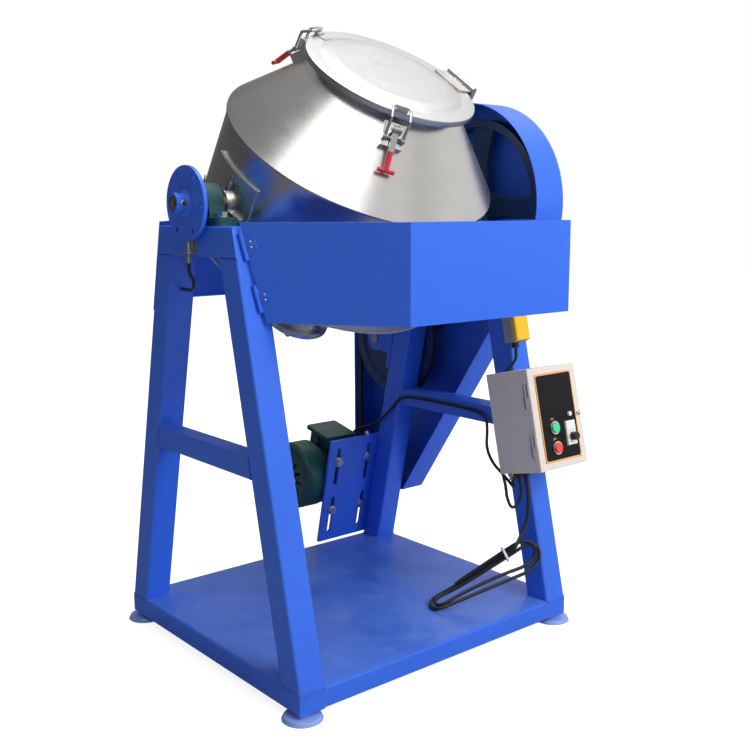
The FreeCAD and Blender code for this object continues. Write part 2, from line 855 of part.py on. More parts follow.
def belt(near, width, radius_a, ya, za, radius_b, yb, zb, count):
    """Closed belts around two pulleys, each with a trapezoid section that sits in its groove."""
    loops = []
    centre = near + width / 2
    dy = yb - ya
    dz = zb - za
    span = math.hypot(dy, dz)
    along = math.atan2(dz, dy)
    spread = math.acos((radius_a - radius_b) / span)
    for i in range(count):
        c = centre + groove_pitch * (i - (count - 1) / 2)
        def section(r):
            half = belt_top_width / 2
            foot = half * 0.62
            return [(c - half, r), (c - foot, r - belt_height), (c + foot, r - belt_height), (c + half, r)]
        pieces = []
        for y, z, r, start, sweep in (
            (ya, za, radius_a, along + spread, 2 * math.pi - 2 * spread),
            (yb, zb, radius_b, along - spread, 2 * spread),
        ):
            out = V(0, math.cos(start), math.sin(start))
            ring = [V(x, y, z) + out * q for x, q in section(r)]
            face = Part.Face(Part.makePolygon(ring + ring[:1]))
            pieces.append(face.revolve(V(0, y, z), X_AXIS, math.degrees(sweep)))
        for sign in (-1, 1):
            out = V(0, math.cos(along + sign * spread), math.sin(along + sign * spread))
            start = [V(x, ya, za) + out * q for x, q in section(radius_a)]
            run = V(0, dy, dz) + out * (radius_b - radius_a)
            pieces.append(Part.Face(Part.makePolygon(start + start[:1])).extrude(run))
        loops.append(fused(pieces))
    return Part.makeCompound(loops)


def motor_axis():
    """Machine Y and Z of the motor's shaft."""
    return rear_machine_point(plate_thickness + motor_height, motor_centre_up)


def drum_belts():
    return belt(pulley_near, pulley_width, pulley_radius, 0, spin_z, jack_small_radius, jack_y, jack_z, 2)


def motor_belt():
    y, z = motor_axis()
    return belt(jack_near, jack_large_width, jack_large_radius, jack_y, jack_z, motor_pulley_radius, y, z, 1)


def jack_shaft():
    low = half_width - tube_width - 4
    return rod((low, jack_y, jack_z), (pulley_near + pulley_width, jack_y, jack_z), jack_shaft_radius)


def jack_pulleys():
    large = small_pulley(jack_near, jack_large_width, jack_large_radius, 1, jack_shaft_radius, jack_y, jack_z,
                         jack_near, jack_near + jack_large_width + 1.5)
    rim = jack_large_radius - jack_rim
    floor = jack_near + jack_recess_depth
    hollow = turned_x(
        [(jack_near - 1, jack_recess_radius), (floor, jack_recess_radius), (floor, rim), (jack_near - 1, rim)],
        jack_y, jack_z)
    large = large.cut(hollow)
    small = small_pulley(pulley_near, pulley_width, jack_small_radius, 2, jack_shaft_radius, jack_y, jack_z,
                         pulley_near, pulley_near + pulley_width)
    return Part.makeCompound([large, small])


def jack_housing():
    """Bearing block of the intermediate shaft, bolted to the right rear leg."""
    y, z = rear_leg_point(jack_y, jack_z)
    low = half_width - tube_width
    plate = box((low, 0, z - jack_block_half), (half_width, jack_block_thickness, z + jack_block_half))
    web = box((low + 4, jack_block_thickness - 1, z - jack_web_half), (half_width - 4, y, z + jack_web_half))
    barrel = rod((low + 2, y, z), (half_width - 2, y, z), jack_barrel_radius)
    block = fused([plate, web, barrel])
    block = block.cut(rod((low - 5, y, z), (half_width + 5, y, z), jack_shaft_radius + running_clearance))
    return on_rear_leg(block)


def guard_corners():
    """Lower front and lower rear corners of the belt guard's outline, on its outer face."""
    y, z = motor_axis()
    rear = V(0, y + guard_behind_motor, z - guard_below_motor)
    return rear + V(0, -guard_floor_depth, guard_low_front_rise), rear


def guard_outline(skin):
    """Belt guard outline in Y and Z: an arc over the large pulley, then down around both shafts."""
    r = guard_radius - skin
    front_corner, rear_corner = guard_corners()
    low_front = front_corner + V(0, skin, skin)
    low_rear = rear_corner + V(0, -skin, skin)
    centre = V(0, 0, spin_z)
    reach = low_front - centre
    base = math.atan2(reach.z, reach.y)
    front = base - math.acos(r / reach.Length)
    knee = V(0, low_rear.y, jack_z + guard_knee_over_shaft)
    reach = knee - centre
    rear = math.atan2(reach.z, reach.y) + math.acos(r / reach.Length)
    def at(angle):
        return V(0, r * math.cos(angle), spin_z + r * math.sin(angle))
    start = at(rear)
    end = at(front)
    middle = at((rear + front + 2 * math.pi) / 2)
    edges = [
        Part.Arc(start, middle, end).toShape(),
        Part.makeLine(end, low_front),
        Part.makeLine(low_front, low_rear),
        Part.makeLine(low_rear, knee),
        Part.makeLine(knee, start),
    ]
    return Part.Face(Part.Wire(edges))


def belt_guard():
    """Sheet cover over the belts, open towards the drum."""
    def slab(skin, x_low, x_high):
        face = guard_outline(skin)
        face.translate(V(x_low, 0, 0))
        return face.extrude(V(x_high - x_low, 0, 0))
    outer = slab(0, guard_near_top, guard_far)
    inner = slab(guard_sheet, guard_near_top - 1, guard_far - guard_sheet)
    tray = outer.cut(inner)
    reach = guard_radius * 3
    relief = box((guard_near_top - 5, -reach, 0), (guard_near, reach, trestle_height + 4))
    return tray.cut(relief)


def guard_wall_y(z):
    """Y of the belt guard's front wall at a height, on its outer face."""
    corner, _ = guard_corners()
    centre = V(0, 0, spin_z)
    reach = corner - centre
    angle = math.atan2(reach.z, reach.y) - math.acos(guard_radius / reach.Length)
    touch = V(0, guard_radius * math.cos(angle), spin_z + guard_radius * math.sin(angle))
    if z > touch.z:
        return -math.sqrt(guard_radius ** 2 - (z - spin_z) ** 2)
    return touch.y + (corner.y - touch.y) * (z - touch.z) / (corner.z - touch.z)


def guard_floor_z(y):
    """Z of the belt guard's lowest wall at a depth, on its outer face."""
    front, rear = guard_corners()
    return front.z + (rear.z - front.z) * (y - front.y) / (rear.y - front.y)


def belt_guard_tabs():
    """Side of the leg and machine Y and Z of the screw of each tab that carries the belt guard."""
    out = guard_tab_length / 2 - guard_screw_head - 3
    front_z = trestle_height - guard_tab_front_drop
    rear_y = leg_out(guard_corners()[1].z) - guard_tab_rear_inset
    return [(-1, guard_wall_y(front_z) + out, front_z), (1, rear_y, guard_floor_z(rear_y) + out)]


def guard_screw(base, direction):
    """Round-headed screw that stands on base, with its shank against direction."""
    axis = V(*direction)
    axis.normalize()
    head = Part.makeCylinder(guard_screw_head, guard_screw_head_height, V(*base), axis)
    head = rounded(head, 2.5, lambda e: (e.CenterOfMass - V(*base)).dot(axis) > guard_screw_head_height - 0.01)
    shank = Part.makeCylinder(guard_screw_radius, tube_wall + 8, V(*base), axis * -1)
    return head.fuse(shank).removeSplitter()


def guard_tabs():
    """Flat tabs between the belt guard's edge and the right legs."""
    tabs = []
    out = guard_tab_length / 2 - guard_screw_head - 3
    for side, y, z in belt_guard_tabs():
        if side < 0:
            low = (half_width, y - out - guard_screw_head, z - guard_tab_width / 2)
            high = (guard_near, y + guard_screw_head + 3, z + guard_tab_width / 2)
        else:
            low = (half_width, y - guard_tab_width / 2, z - out - guard_screw_head)
            high = (guard_near, y + guard_tab_width / 2, z + guard_screw_head + 3)
        hole = rod((half_width - 1, y, z), (guard_near + 1, y, z), guard_screw_radius)
        tabs.append(box(low, high).cut(hole))
    return Part.makeCompound(tabs)


def guard_fasteners():
    """Screws of the belt guard's tabs and of the rear guard's flanges."""
    screws = []
    for side, y, z in belt_guard_tabs():
        screws.append(guard_screw((guard_near, y, z), (1, 0, 0)))
    normal = V(0, 1, lean)
    normal.normalize()
    for place in rear_guard_screws():
        screws.append(guard_screw(tuple(place + normal * bay_sheet), tuple(normal)))
    return Part.makeCompound(screws)


def bay_line(side):
    """Plan corners of a drum guard: left end, two bends and right end, at a given distance from the leg plane."""
    def ends(z, gap):
        y_end = leg_out(z) + gap
        left = bay_left - (bay_depth - y_end) * bay_slope
        right = bay_right + (bay_depth - y_end) * bay_right_slope
        return [(left, side * y_end), (bay_left, side * bay_depth), (bay_right, side * bay_depth),
                (right, side * y_end)]
    return ends


def bay_panels(side, gap):
    """Three upright sheets around the drum with lips at top and bottom, ending at a gap from the legs."""
    ends = bay_line(side)
    low = [V(x, y, bay_low) for x, y in ends(bay_low, gap)]
    high = [V(x, y, bay_high) for x, y in ends(bay_high, gap)]
    panels = []
    for i in range(3):
        ring = [low[i], low[i + 1], high[i + 1], high[i]]
        along = ring[1] - ring[0]
        along.normalize()
        normal = along.cross(Z_AXIS)
        if normal.y * side > 0:
            normal = normal * -1
        panels.append(polygon_face(ring).extrude(normal * bay_sheet))
        for z, pts in ((bay_low, low), (bay_high - bay_sheet, high)):
            p = V(pts[i].x, pts[i].y, z)
            q = V(pts[i + 1].x, pts[i + 1].y, z)
            if i == 0:
                p = p + along * bay_lip_setback
            if i == 2:
                q = q - along * bay_lip_setback
            strip = polygon_face([p, q, q + normal * bay_lip, p + normal * bay_lip])
            panels.append(strip.extrude(V(0, 0, bay_sheet)))
    return panels


def guard_door():
    """Hinged guard in front of the drum."""
    return fused(bay_panels(-1, bay_leg_gap))


def rear_guard():
    """Fixed guard behind the drum, with a flange on each rear leg."""
    panels = bay_panels(1, bay_sheet)
    edge = half_width - 1
    low_end = bay_line(1)(bay_low, bay_sheet)
    high_end = bay_line(1)(bay_high, bay_sheet)
    for sign, place in ((-1, 0), (1, 3)):
        inner = min(abs(low_end[place][0]), abs(high_end[place][0])) - guard_flange_margin
        xs = sorted((sign * edge, sign * inner))
        flange = profile_x(
            [(leg_out(bay_low), bay_low), (leg_out(bay_low) + bay_sheet, bay_low),
             (leg_out(bay_high) + bay_sheet, bay_high), (leg_out(bay_high), bay_high)],
            xs[0], xs[1],
        )
        for screw in rear_guard_screws():
            normal = V(0, 1, lean)
            flange = flange.cut(Part.makeCylinder(guard_screw_radius, 20, screw - normal * 10, normal))
        panels.append(flange)
    return fused(panels)


def hinge_line():
    """Two points on the front guard's hinge axis, low and high, in front of the left leg's face."""
    ends = bay_line(-1)
    low = ends(bay_low, hinge_stand_off)[0]
    high = ends(bay_high, hinge_stand_off)[0]
    return V(low[0], low[1], bay_low), V(high[0], high[1], bay_high)


def guard_hinges(part):
    """Two butt hinges: part is "leg" for the fixed leaves or "door" for the moving leaves and the pins."""
    low, high = hinge_line()
    axis = high - low
    axis.normalize()
    outward = V(0, -1, lean)
    outward.normalize()
    along_door = V(bay_slope, -1, 0)
    along_door.normalize()
    door_normal = axis.cross(along_door) * -1
    door_normal.normalize()
    third = hinge_length / 3
    solids = []
    for start in guard_hinge_places:
        foot = low + (high - low) * start
        if part == "leg":
            rings = [(0, third - 0.3), (2 * third + 0.3, hinge_length)]
            base = foot - outward * (hinge_stand_off * math.cos(math.radians(lean_angle)))
            side = axis.cross(outward) * hinge_leaf_width
            thickness = outward * hinge_leaf_thickness
        else:
            rings = [(third, 2 * third)]
            base = foot
            side = axis.cross(door_normal) * hinge_leaf_width
            thickness = door_normal * hinge_leaf_thickness
            solids.append(Part.makeCylinder(hinge_bar_radius - running_clearance, hinge_length, foot, axis))
        bore = Part.makeCylinder(hinge_bar_radius, hinge_length + 10, foot - axis * 5, axis)
        for a, b in rings:
            knuckle = Part.makeCylinder(hinge_barrel_radius, b - a, foot + axis * a, axis)
            p = base + axis * a
            leaf = polygon_face([p, p + axis * (b - a), p + axis * (b - a) + side, p + side]).extrude(thickness)
            solids.append(fused([knuckle, leaf]).cut(bore))
    return Part.makeCompound(solids)


def motor_plate():
    """Slotted plate on the back of the right rear leg, with a slot for each motor foot bolt."""
    plate = box((plate_left, 0, plate_low), (half_width, plate_thickness, plate_high))
    for x in (motor_foot_first, motor_foot_first + motor_foot_pitch):
        for up in (motor_centre_up - motor_foot_span / 2, motor_centre_up + motor_foot_span / 2):
            c = up - slot_drop
            half = slot_length / 2 - slot_width / 2
            slot = box((x - slot_width / 2, -1, c - half), (x + slot_width / 2, plate_thickness + 1, c + half))
            for z in (c - half, c + half):
                slot = slot.fuse(rod((x, -1, z), (x, plate_thickness + 1, z), slot_width / 2))
            plate = plate.cut(slot)
    return on_rear_leg(plate)


def motor_fasteners():
    """Foot bolts through the slots, and the jacking screw over the plate."""
    solids = []
    for x in (motor_foot_first, motor_foot_first + motor_foot_pitch):
        for up in (motor_centre_up - motor_foot_span / 2, motor_centre_up + motor_foot_span / 2):
            bolt = hex_bolt((x, 0, up), (0, -1, 0), plate_thickness + 12)
            solids.append(on_rear_leg(bolt))
    screw_x = motor_foot_first + motor_foot_pitch - 10
    shank = rod((screw_x, plate_thickness / 2, plate_high), (screw_x, plate_thickness / 2, plate_high + 13), 4.0)
    nut = rod((screw_x, plate_thickness / 2, plate_high + 4), (screw_x, plate_thickness / 2, plate_high + 10), 8.0)
    solids.append(on_rear_leg(fused([shank, nut])))
    return Part.makeCompound(solids)


def motor_frame():
    """Ribbed stator housing with a drive-end shield and two feet on the plate."""
    y = plate_thickness + motor_height
    z = motor_centre_up
    high = motor_shoulder
    low = high - motor_body_length
    barrel = turned_x(
        [(low, 0), (low, motor_barrel_radius), (high - 30, motor_barrel_radius), (high - 30, motor_barrel_radius + 5),
         (high - 18, motor_barrel_radius + 5), (high - 6, motor_barrel_radius - 26), (high - 6, 30), (high, 30),
         (high, 0)], y, z)
    fins = []
    for i in range(motor_fin_count):
        turn = 360.0 / motor_fin_count * (i + 0.5)
        if abs(turn - 90) < 36 or abs(turn - 180) < 30:
            continue
        fin = box((low + 4, motor_barrel_radius - 4, -motor_fin_thickness / 2),
                  (high - 34, motor_fin_radius, motor_fin_thickness / 2))
        fin.rotate(V(0, 0, 0), X_AXIS, turn)
        fin.translate(V(0, y, z))
        fins.append(fin)
    foot_low = motor_foot_first - motor_foot_edge
    foot_high = motor_foot_first + motor_foot_pitch + motor_foot_edge
    feet_shapes = []
    for sign in (-1, 1):
        z_bolt = z + sign * motor_foot_span / 2
        z_in = z + sign * 34
        zs = sorted((z_bolt + sign * 16, z_in))
        feet_shapes.append(box((foot_low, plate_thickness, zs[0]), (foot_high, plate_thickness + 12, zs[1])))
        zr = sorted((z + sign * 34, z + sign * 48))
        feet_shapes.append(box((foot_low, plate_thickness, zr[0]), (foot_high, y - 40, zr[1])))
    body = fused([barrel] + fins + feet_shapes)
    body = body.cut(rod((high - 40, y, z), (high + 1, y, z), motor_shaft_radius + running_clearance))
    for x in (motor_foot_first, motor_foot_first + motor_foot_pitch):
        for sign in (-1, 1):
            up = z + sign * motor_foot_span / 2
            body = body.cut(rod((x, plate_thickness - 1, up), (x, plate_thickness + 13, up), bolt_radius))
    return on_rear_leg(body)


def motor_fan_cover():
    """Pressed cover over the fan, with rounded shoulders and a ring of inlet slots."""
    y = plate_thickness + motor_height
    z = motor_centre_up
    high = motor_shoulder - motor_body_length
    low = high - fan_cover_length
    r = motor_fin_radius + 2
    cover = turned_x(
        [(high, motor_barrel_radius), (high, r), (low + 14, r), (low + 4, r - 8), (low, r - 22), (low, 0),
         (low + 2, 0), (low + 2, r - 23), (low + 6, r - 10), (low + 16, r - 2), (high - 2, r - 2),
         (high - 2, motor_barrel_radius)], y, z)
    for i in range(12):
        slot = box((low - 1, 18, -3), (low + 3, 54, 3))
        slot.rotate(V(0, 0, 0), X_AXIS, 30 * i)
        slot.translate(V(0, y, z))
        cover = cover.cut(slot)
    return on_rear_leg(cover)


def motor_terminal_box():
    """Terminal box on the motor's upper side, with an overhanging lid and a cable entry."""
    y = plate_thickness + motor_height
    z = motor_centre_up
    x = motor_shoulder - motor_body_length + terminal_from_fan
    half = terminal_size / 2
    shoulder = z + motor_fin_radius + terminal_neck
    neck = box((x - half, y - half, z), (x + half, y + half, shoulder))
    neck = rounded(neck, 8.0, long_edge(Z_AXIS, 20))
    edge = half + terminal_overhang
    top = shoulder + terminal_lid
    lid = box((x - edge, y - edge, shoulder), (x + edge, y + edge, top))
    lid = rounded(lid, 8.0, long_edge(Z_AXIS, 8))
    lid = rounded(lid, 3.0, lambda e: e.BoundBox.ZMin > top - 1)
    gland_z = z + motor_fin_radius + 4
    gland = rod((x - half - gland_length, y, gland_z), (x + half + gland_length, y, gland_z), gland_radius)
    entry = x + half + gland_length
    bore = cable_radius + gland_clearance
    gland = gland.cut(rod((entry - cable_inside - 1, y, gland_z), (entry + 1, y, gland_z), bore))
    barrel = rod((x - 100, y, z), (x + 100, y, z), motor_barrel_radius)
    below = box((x - 100, y - 100, z - 100), (x + 100, y + 100, z))
    return on_rear_leg(fused([neck, lid, gland]).cut(barrel).cut(below))


def motor_shaft():
    y, z = motor_axis()
    return rod((motor_shoulder - 40, y, z), (motor_shaft_end, y, z), motor_shaft_radius)


def motor_pulley():
    y, z = motor_axis()
    return small_pulley(jack_near, jack_large_width, motor_pulley_radius, 1, motor_shaft_radius, y, z,
                        motor_shoulder + 6, motor_shaft_end + 2)


def control_box():
    """Sheet steel box on the right front leg, open at the front for its door."""
    outer = box((box_left, -box_depth, box_low), (box_right, 0, box_high))
    inner = box(
        (box_left + box_wall, -box_depth - 1, box_low + box_wall),
        (box_right - box_wall, -box_wall, box_high - box_wall),
    )
    glands = []
    for x, cable in zip(box_gland_places, (cable_radius, cable_radius, power_cord_radius)):
        y = -box_gland_back
        nut = rod((x, y, box_low - box_gland_length * 0.4), (x, y, box_low + box_wall / 2), box_gland_nut)
        neck = rod((x, y, box_low - box_gland_length), (x, y, box_low), box_gland_radius)
        glands.append(fused([nut, neck]).cut(rod((x, y, box_low - 60), (x, y, box_low - 6), cable + gland_clearance)))
    shell = fused([outer.cut(inner)] + glands + box_hinges("box"))
    return on_front_leg(shell)


def box_hinges(part):
    """Two pin hinges on the control box's left edge: part is "box" for the pins or "door" for the sleeves."""
    x = box_left - box_hinge_radius - box_hinge_clearance
    y = -box_depth - door_gap / 2
    pieces = []
    for place in box_hinge_places:
        low = box_low + (box_high - box_low) * place
        middle = low + box_hinge_length / 2
        high = low + box_hinge_length
        if part == "box":
            end = middle - box_hinge_clearance
            leaf = box((box_left - box_hinge_leaf, -box_depth, low), (box_left, -box_depth + box_hinge_reach, end))
            pieces += [rod((x, y, low), (x, y, end), box_hinge_radius), leaf]
            pieces.append(rod((x, y, low), (x, y, high), box_hinge_pin))
        else:
            start = middle + box_hinge_clearance
            face = -box_depth - door_gap
            leaf = box((box_left - box_hinge_leaf, face - box_hinge_reach, start), (box_left, face, high))
            sleeve = tube((x, y, start), (x, y, high), box_hinge_radius, box_hinge_pin + running_clearance)
            pieces += [sleeve, leaf]
    return pieces


def control_box_door():
    """Shallow pan door with holes for the buttons, hinged on its left edge."""
    low = -box_depth - door_gap - door_depth
    high = -box_depth - door_gap
    outer = box((box_left, low, box_low), (box_right, high, box_high))
    outer = rounded(outer, 3.0, lambda e: abs(e.CenterOfMass.y - low) < 0.01)
    inner = box(
        (box_left + box_wall, low + box_wall, box_low + box_wall),
        (box_right - box_wall, high + 1, box_high - box_wall),
    )
    door = outer.cut(inner)
    for up in (green_up, red_up):
        door = door.cut(rod((button_x, low - 1, up), (button_x, low + box_wall + 1, up), button_radius + 0.5))
    return on_front_leg(fused([door] + box_hinges("door")))


def panel_face():
    """Local Y of the outer face of the door."""
    return -box_depth - door_gap - door_depth


def control_panel():
    """Thin plate on the door that carries the buttons."""
    y = panel_face()
    plate = box(
        (box_left + panel_margin_side, y - panel_thickness, box_low + panel_margin_low),
        (box_right - panel_margin_side, y, box_high - panel_margin_high),
    )
    for up in (green_up, red_up):
        plate = plate.cut(rod((button_x, y - 2, up), (button_x, y + 1, up), button_radius + 0.5))
    return on_front_leg(plate)


def panel_fittings():
    """Two button collars, the timer's plate and the lamp."""
    y = panel_face() - panel_thickness
    solids = []
    for up in (green_up, red_up):
        solids.append(tube((button_x, y - bezel_height, up), (button_x, y, up), bezel_radius, button_radius + 0.5))
    plate = box(
        (timer_x - timer_width / 2, y - timer_thickness, timer_up - timer_height / 2),
        (timer_x + timer_width / 2, y, timer_up + timer_height / 2),
    )
    plate = rounded(plate, 2.0, lambda e: abs(e.CenterOfMass.y - (y - timer_thickness)) < 0.01)
    solids.append(plate)
    solids.append(rod((lamp_x, y, lamp_up), (lamp_x, y - 5, lamp_up), lamp_radius))
    return Part.makeCompound([on_front_leg(s) for s in solids])


def push_button(up):
    """Button cap, standing proud of its collar by its travel and a little more."""
    y = panel_face() - panel_thickness
    cap = rod((button_x, y + box_wall + 8, up), (button_x, y - button_height, up), button_radius)
    cap = rounded(cap, 1.5, lambda e: abs(e.CenterOfMass.y - (y - button_height)) < 0.01)
    return on_front_leg(cap)


def timer_knob():
    """Ribbed pointer knob on the timer."""
    y = panel_face() - panel_thickness - timer_thickness
    z = timer_up - 8
    knob = rod((timer_x, y, z), (timer_x, y - knob_height, z), knob_radius)
    knob = rounded(knob, 1.5, lambda e: abs(e.CenterOfMass.y - (y - knob_height)) < 0.01)
    return on_front_leg(knob)


def interlock_switch():
    """Safety switch on the right front leg, under the guard's free end."""
    body = box((switch_left, -switch_depth, switch_low), (switch_right, 0, switch_high))
    cover = box(
        (switch_left + 1, -switch_depth - switch_cover_depth, switch_low + 2),
        (switch_right - 1, -switch_depth, switch_high - 2),
    )
    cover = rounded(cover, 5.0, lambda e: abs(e.CenterOfMass.y + switch_depth + switch_cover_depth) < 0.01)
    y = -switch_depth / 2
    low = switch_low - switch_gland_length
    gland = rod((switch_gland_x, y, low), (switch_gland_x, y, switch_low), switch_gland_radius)
    bore = cable_radius + gland_clearance
    gland = gland.cut(rod((switch_gland_x, y, low - 1), (switch_gland_x, y, switch_low - 3), bore))
    return Part.makeCompound([on_front_leg(fused([body, gland])), on_front_leg(cover)])


def lid():
    """Round lid: a raised middle, a flat rim and a skirt around the mouth flange, open at the hinge."""
    low = lid_underside
    t = lid_sheet
    skirt_low = low + t - lid_skirt
    half = hinge_width / 2 + lid_notch
    body = turned([
        (0, low + lid_dish_rise), (lid_dish_radius - 10, low + lid_dish_rise), (lid_dish_radius, low),
        (lid_radius - t, low), (lid_radius - t, skirt_low), (lid_radius, skirt_low), (lid_radius, low + t),
        (lid_dish_radius + 2, low + t), (lid_dish_radius - 8, low + t + lid_dish_rise), (0, low + t + lid_dish_rise),
    ])
    return on_drum(body.cut(box((0, -half, skirt_low - 1), (lid_radius + 1, half, low))))


def lid_seal():
    """Flat seal between the mouth flange and the lid."""
    low = mouth_height + lid_gap
    return on_drum(tube((0, 0, low), (0, 0, low + seal_thickness - lid_gap), seal_radius, seal_radius - seal_width))


def lid_hinge_point():
    """Radius and height of the lid's hinge axis in the drum's frame."""
    return lid_radius + hinge_axis_out, lid_underside + lid_sheet + hinge_knuckle_radius - 1


def lid_hinge_leaf():
    """Hinge leaf on the lid with its middle knuckle and the pin."""
    r, h = lid_hinge_point()
    half = hinge_width / 2
    top = lid_underside + lid_sheet
    leaf = box((lid_dish_radius + 4, -half, top), (r, half, top + 3))
    third = hinge_width / 6
    knuckle = rod((r, -third, h), (r, third, h), hinge_knuckle_radius)
    for sign in (-1, 1):
        ys = sorted((sign * (third + 0), sign * (half + 1)))
        leaf = leaf.cut(box((r - hinge_knuckle_radius - 1, ys[0], top - 5), (r + 20, ys[1], top + 20)))
    body = fused([leaf, knuckle]).cut(rod((r, -half, h), (r, half, h), hinge_pin_radius))
    pin = rod((r, -half, h), (r, half, h), hinge_pin_radius)
    return Part.makeCompound([on_drum(body), on_drum(pin)])


def upper_cone():
    """Solid with the outer form of the drum above its middle, to cut what stands on the cone."""
    flange_low = mouth_height - mouth_flange_thickness
    return turned([
        (0, cylinder_high - 60), (drum_radius, cylinder_high - 60), (drum_radius, cylinder_high - seam_height),
        (drum_radius + seam_lip, cylinder_high - seam_height), (drum_radius + seam_lip, cylinder_high),
        (mouth_radius, flange_low), (mouth_flange_radius, flange_low), (mouth_flange_radius, mouth_height),
        (0, mouth_height),
    ])


def lid_hinge_base():
    """Bracket on the upper cone that carries the lid's hinge."""
    r, h = lid_hinge_point()
    half = hinge_width / 2
    third = hinge_width / 6
    bore = hinge_pin_radius + running_clearance
    solids = []
    top = h
    slope = (drum_radius - mouth_radius) / (mouth_height - cylinder_high)
    foot_h = cylinder_high + (drum_radius - (r + hinge_knuckle_radius)) / slope
    for sign in (-1, 1):
        ys = sorted((sign * (third + 0.3), sign * half))
        cheek = polygon_face([
            (r - 4.0, ys[0], h), (r + hinge_knuckle_radius, ys[0], h),
            (r + hinge_knuckle_radius, ys[0], foot_h - 12), (r - 4.0, ys[0], foot_h - 12)
        ]).extrude(V(0, ys[1] - ys[0], 0))
        knuckle = rod((r, ys[0], h), (r, ys[1], h), hinge_knuckle_radius)
        solids.append(fused([cheek, knuckle]).cut(rod((r, -half - 1, h), (r, half + 1, h), bore)))
    plate = box((r - 4.0, -half, foot_h - 12), (r + hinge_knuckle_radius, half, h - 14))
    body = fused(solids + [plate])
    return on_drum(body.cut(upper_cone()))


def latch_frame(shape, which):
    """Turn a shape from the X side of the drum's frame to a latch's place."""
    shape = shape.copy()
    shape.rotate(V(0, 0, 0), Z_AXIS, latch_angles[which])
    return on_drum(shape)


def cone_turn():
    """Angle between the upper cone's side and the drum's axis."""
    return math.degrees(math.atan2(drum_radius + seam_lip - mouth_radius,
                                   mouth_height - mouth_flange_thickness - cylinder_high))


def on_cone(shape):
    """Move a shape from the cone's own frame: X is out of the surface, -Z runs down it from the mouth."""
    shape = shape.copy()
    shape.rotate(V(0, 0, 0), Y_AXIS, -cone_turn())
    shape.translate(V(mouth_radius, 0, mouth_height - mouth_flange_thickness))
    return shape


def cone_point(r, h):
    """Distance out of the cone's surface and down along it, of a point of the drum's frame."""
    a = math.radians(cone_turn())
    dr = r - mouth_radius
    dh = h - (mouth_height - mouth_flange_thickness)
    return dr * math.cos(a) + dh * math.sin(a), dr * math.sin(a) - dh * math.cos(a)


def latch_bracket(which):
    """Block on the upper cone with two ears for the handle's pivot."""
    half = latch_block_width / 2
    block = box(
        (-12, -half, -latch_block_start - latch_block_length), (latch_block_thickness, half, -latch_block_start)
    )
    out, down = cone_point(latch_pivot_radius, latch_pivot_height)
    inner = handle_width / 2 + latch_ear_gap
    outer = inner + latch_ear_thickness
    pieces = [on_cone(block).cut(upper_cone())]
    for sign in (-1, 1):
        ys = sorted((sign * inner, sign * outer))
        low = (latch_block_thickness - 1, ys[0], -down - latch_ear_radius)
        ear = box(low, (out, ys[1], -down + latch_ear_radius))
        tip = rod((out, ys[0], -down), (out, ys[1], -down), latch_ear_radius)
        pieces += [on_cone(ear), on_cone(tip)]
    pin = rod((out, -outer - 1, -down), (out, outer + 1, -down), latch_pin_radius)
    pieces.append(on_cone(pin))
    return latch_frame(fused(pieces), which)


def latch_brackets():
    return Part.makeCompound([latch_bracket(w) for w in latch_angles])


def bail_pivot():
    """Radius and height of the bail's pins on the closed handle."""
    return latch_pivot_radius + bail_pin_out, latch_pivot_height - bail_pin_drop


def latch_handle(which):
    """Handle: a lever between the ears with a lug for the bail's cross pin, and a sleeved T grip."""
    pr = latch_pivot_radius
    ph = latch_pivot_height
    q_r, q_h = bail_pivot()
    half = handle_width / 2
    hub = rod((pr, -half, ph), (pr, half, ph), handle_hub_radius)
    lug = rod((q_r, -half, q_h), (q_r, half, q_h), latch_pin_radius + 2)
    web = polygon_face([(pr - 4, -half, ph), (pr + 5, -half, ph), (q_r + 4, -half, q_h), (q_r - 4, -half, q_h)])
    web = web.extrude(V(0, handle_width, 0))
    lever = box((-handle_thickness / 2, -half, -handle_lever_length), (handle_thickness / 2, half, 0))
    reach = bail_spacing / 2 + bail_eye_half
    cross = rod((q_r, -reach, q_h), (q_r, reach, q_h), latch_pin_radius)
    lever = leaned(lever, pr, ph)
    bore = rod((pr, -half - 1, ph), (pr, half + 1, ph), latch_pin_radius + running_clearance)
    body = fused([hub, web, lug, lever, cross]).cut(bore)
    end = -handle_lever_length - grip_length
    grip = rod((0, 0, end), (0, 0, -handle_lever_length), grip_radius)
    bar = rod((0, -grip_bar_length / 2, end), (0, grip_bar_length / 2, end), grip_bar_radius)
    grip = leaned(grip.fuse(bar).removeSplitter(), pr, ph)
    return Part.makeCompound([latch_frame(body, which), latch_frame(grip, which)])


def leaned(shape, r, h):
    """Tilt a shape that hangs down from the origin to the closed handle's slope, and hang it at a pivot."""
    shape = shape.copy()
    shape.rotate(V(0, 0, 0), Y_AXIS, -handle_tilt)
    shape.translate(V(r, 0, h))
    return shape


def keeper_height():
    """Height of the keeper's seat for the bail bar."""
    return lid_underside + lid_sheet + 6.0


def latch_bail(which):
    """U-shaped rod from the handle's cross pin up over the keeper."""
    q_r, q_h = bail_pivot()
    top_r = bail_bar_radius_from_axis
    top_h = keeper_height() + bail_rod_radius + 0.3
    half = bail_spacing / 2
    knee = (q_r - 2, top_h - 14)
    side = [(q_r, q_h), knee, (top_r, top_h)]
    route = [(r, -half, h) for r, h in side] + [(r, half, h) for r, h in reversed(side)]
    edges, _ = arc_path(route, bail_bend)
    ring = Part.Wire([Part.makeCircle(bail_rod_radius, V(*route[0]), V(*route[1]) - V(*route[0]))])
    body = Part.Wire(edges).makePipeShell([ring], True, False)
    eyes = [
        rod((q_r, sign * half - bail_eye_half, q_h), (q_r, sign * half + bail_eye_half, q_h), bail_eye_radius)
        for sign in (-1, 1)
    ]
    body = fused([body] + eyes)
    bore = rod((q_r, -half - 5, q_h), (q_r, half + 5, q_h), 3.0 + running_clearance)
    return latch_frame(body.cut(bore), which)


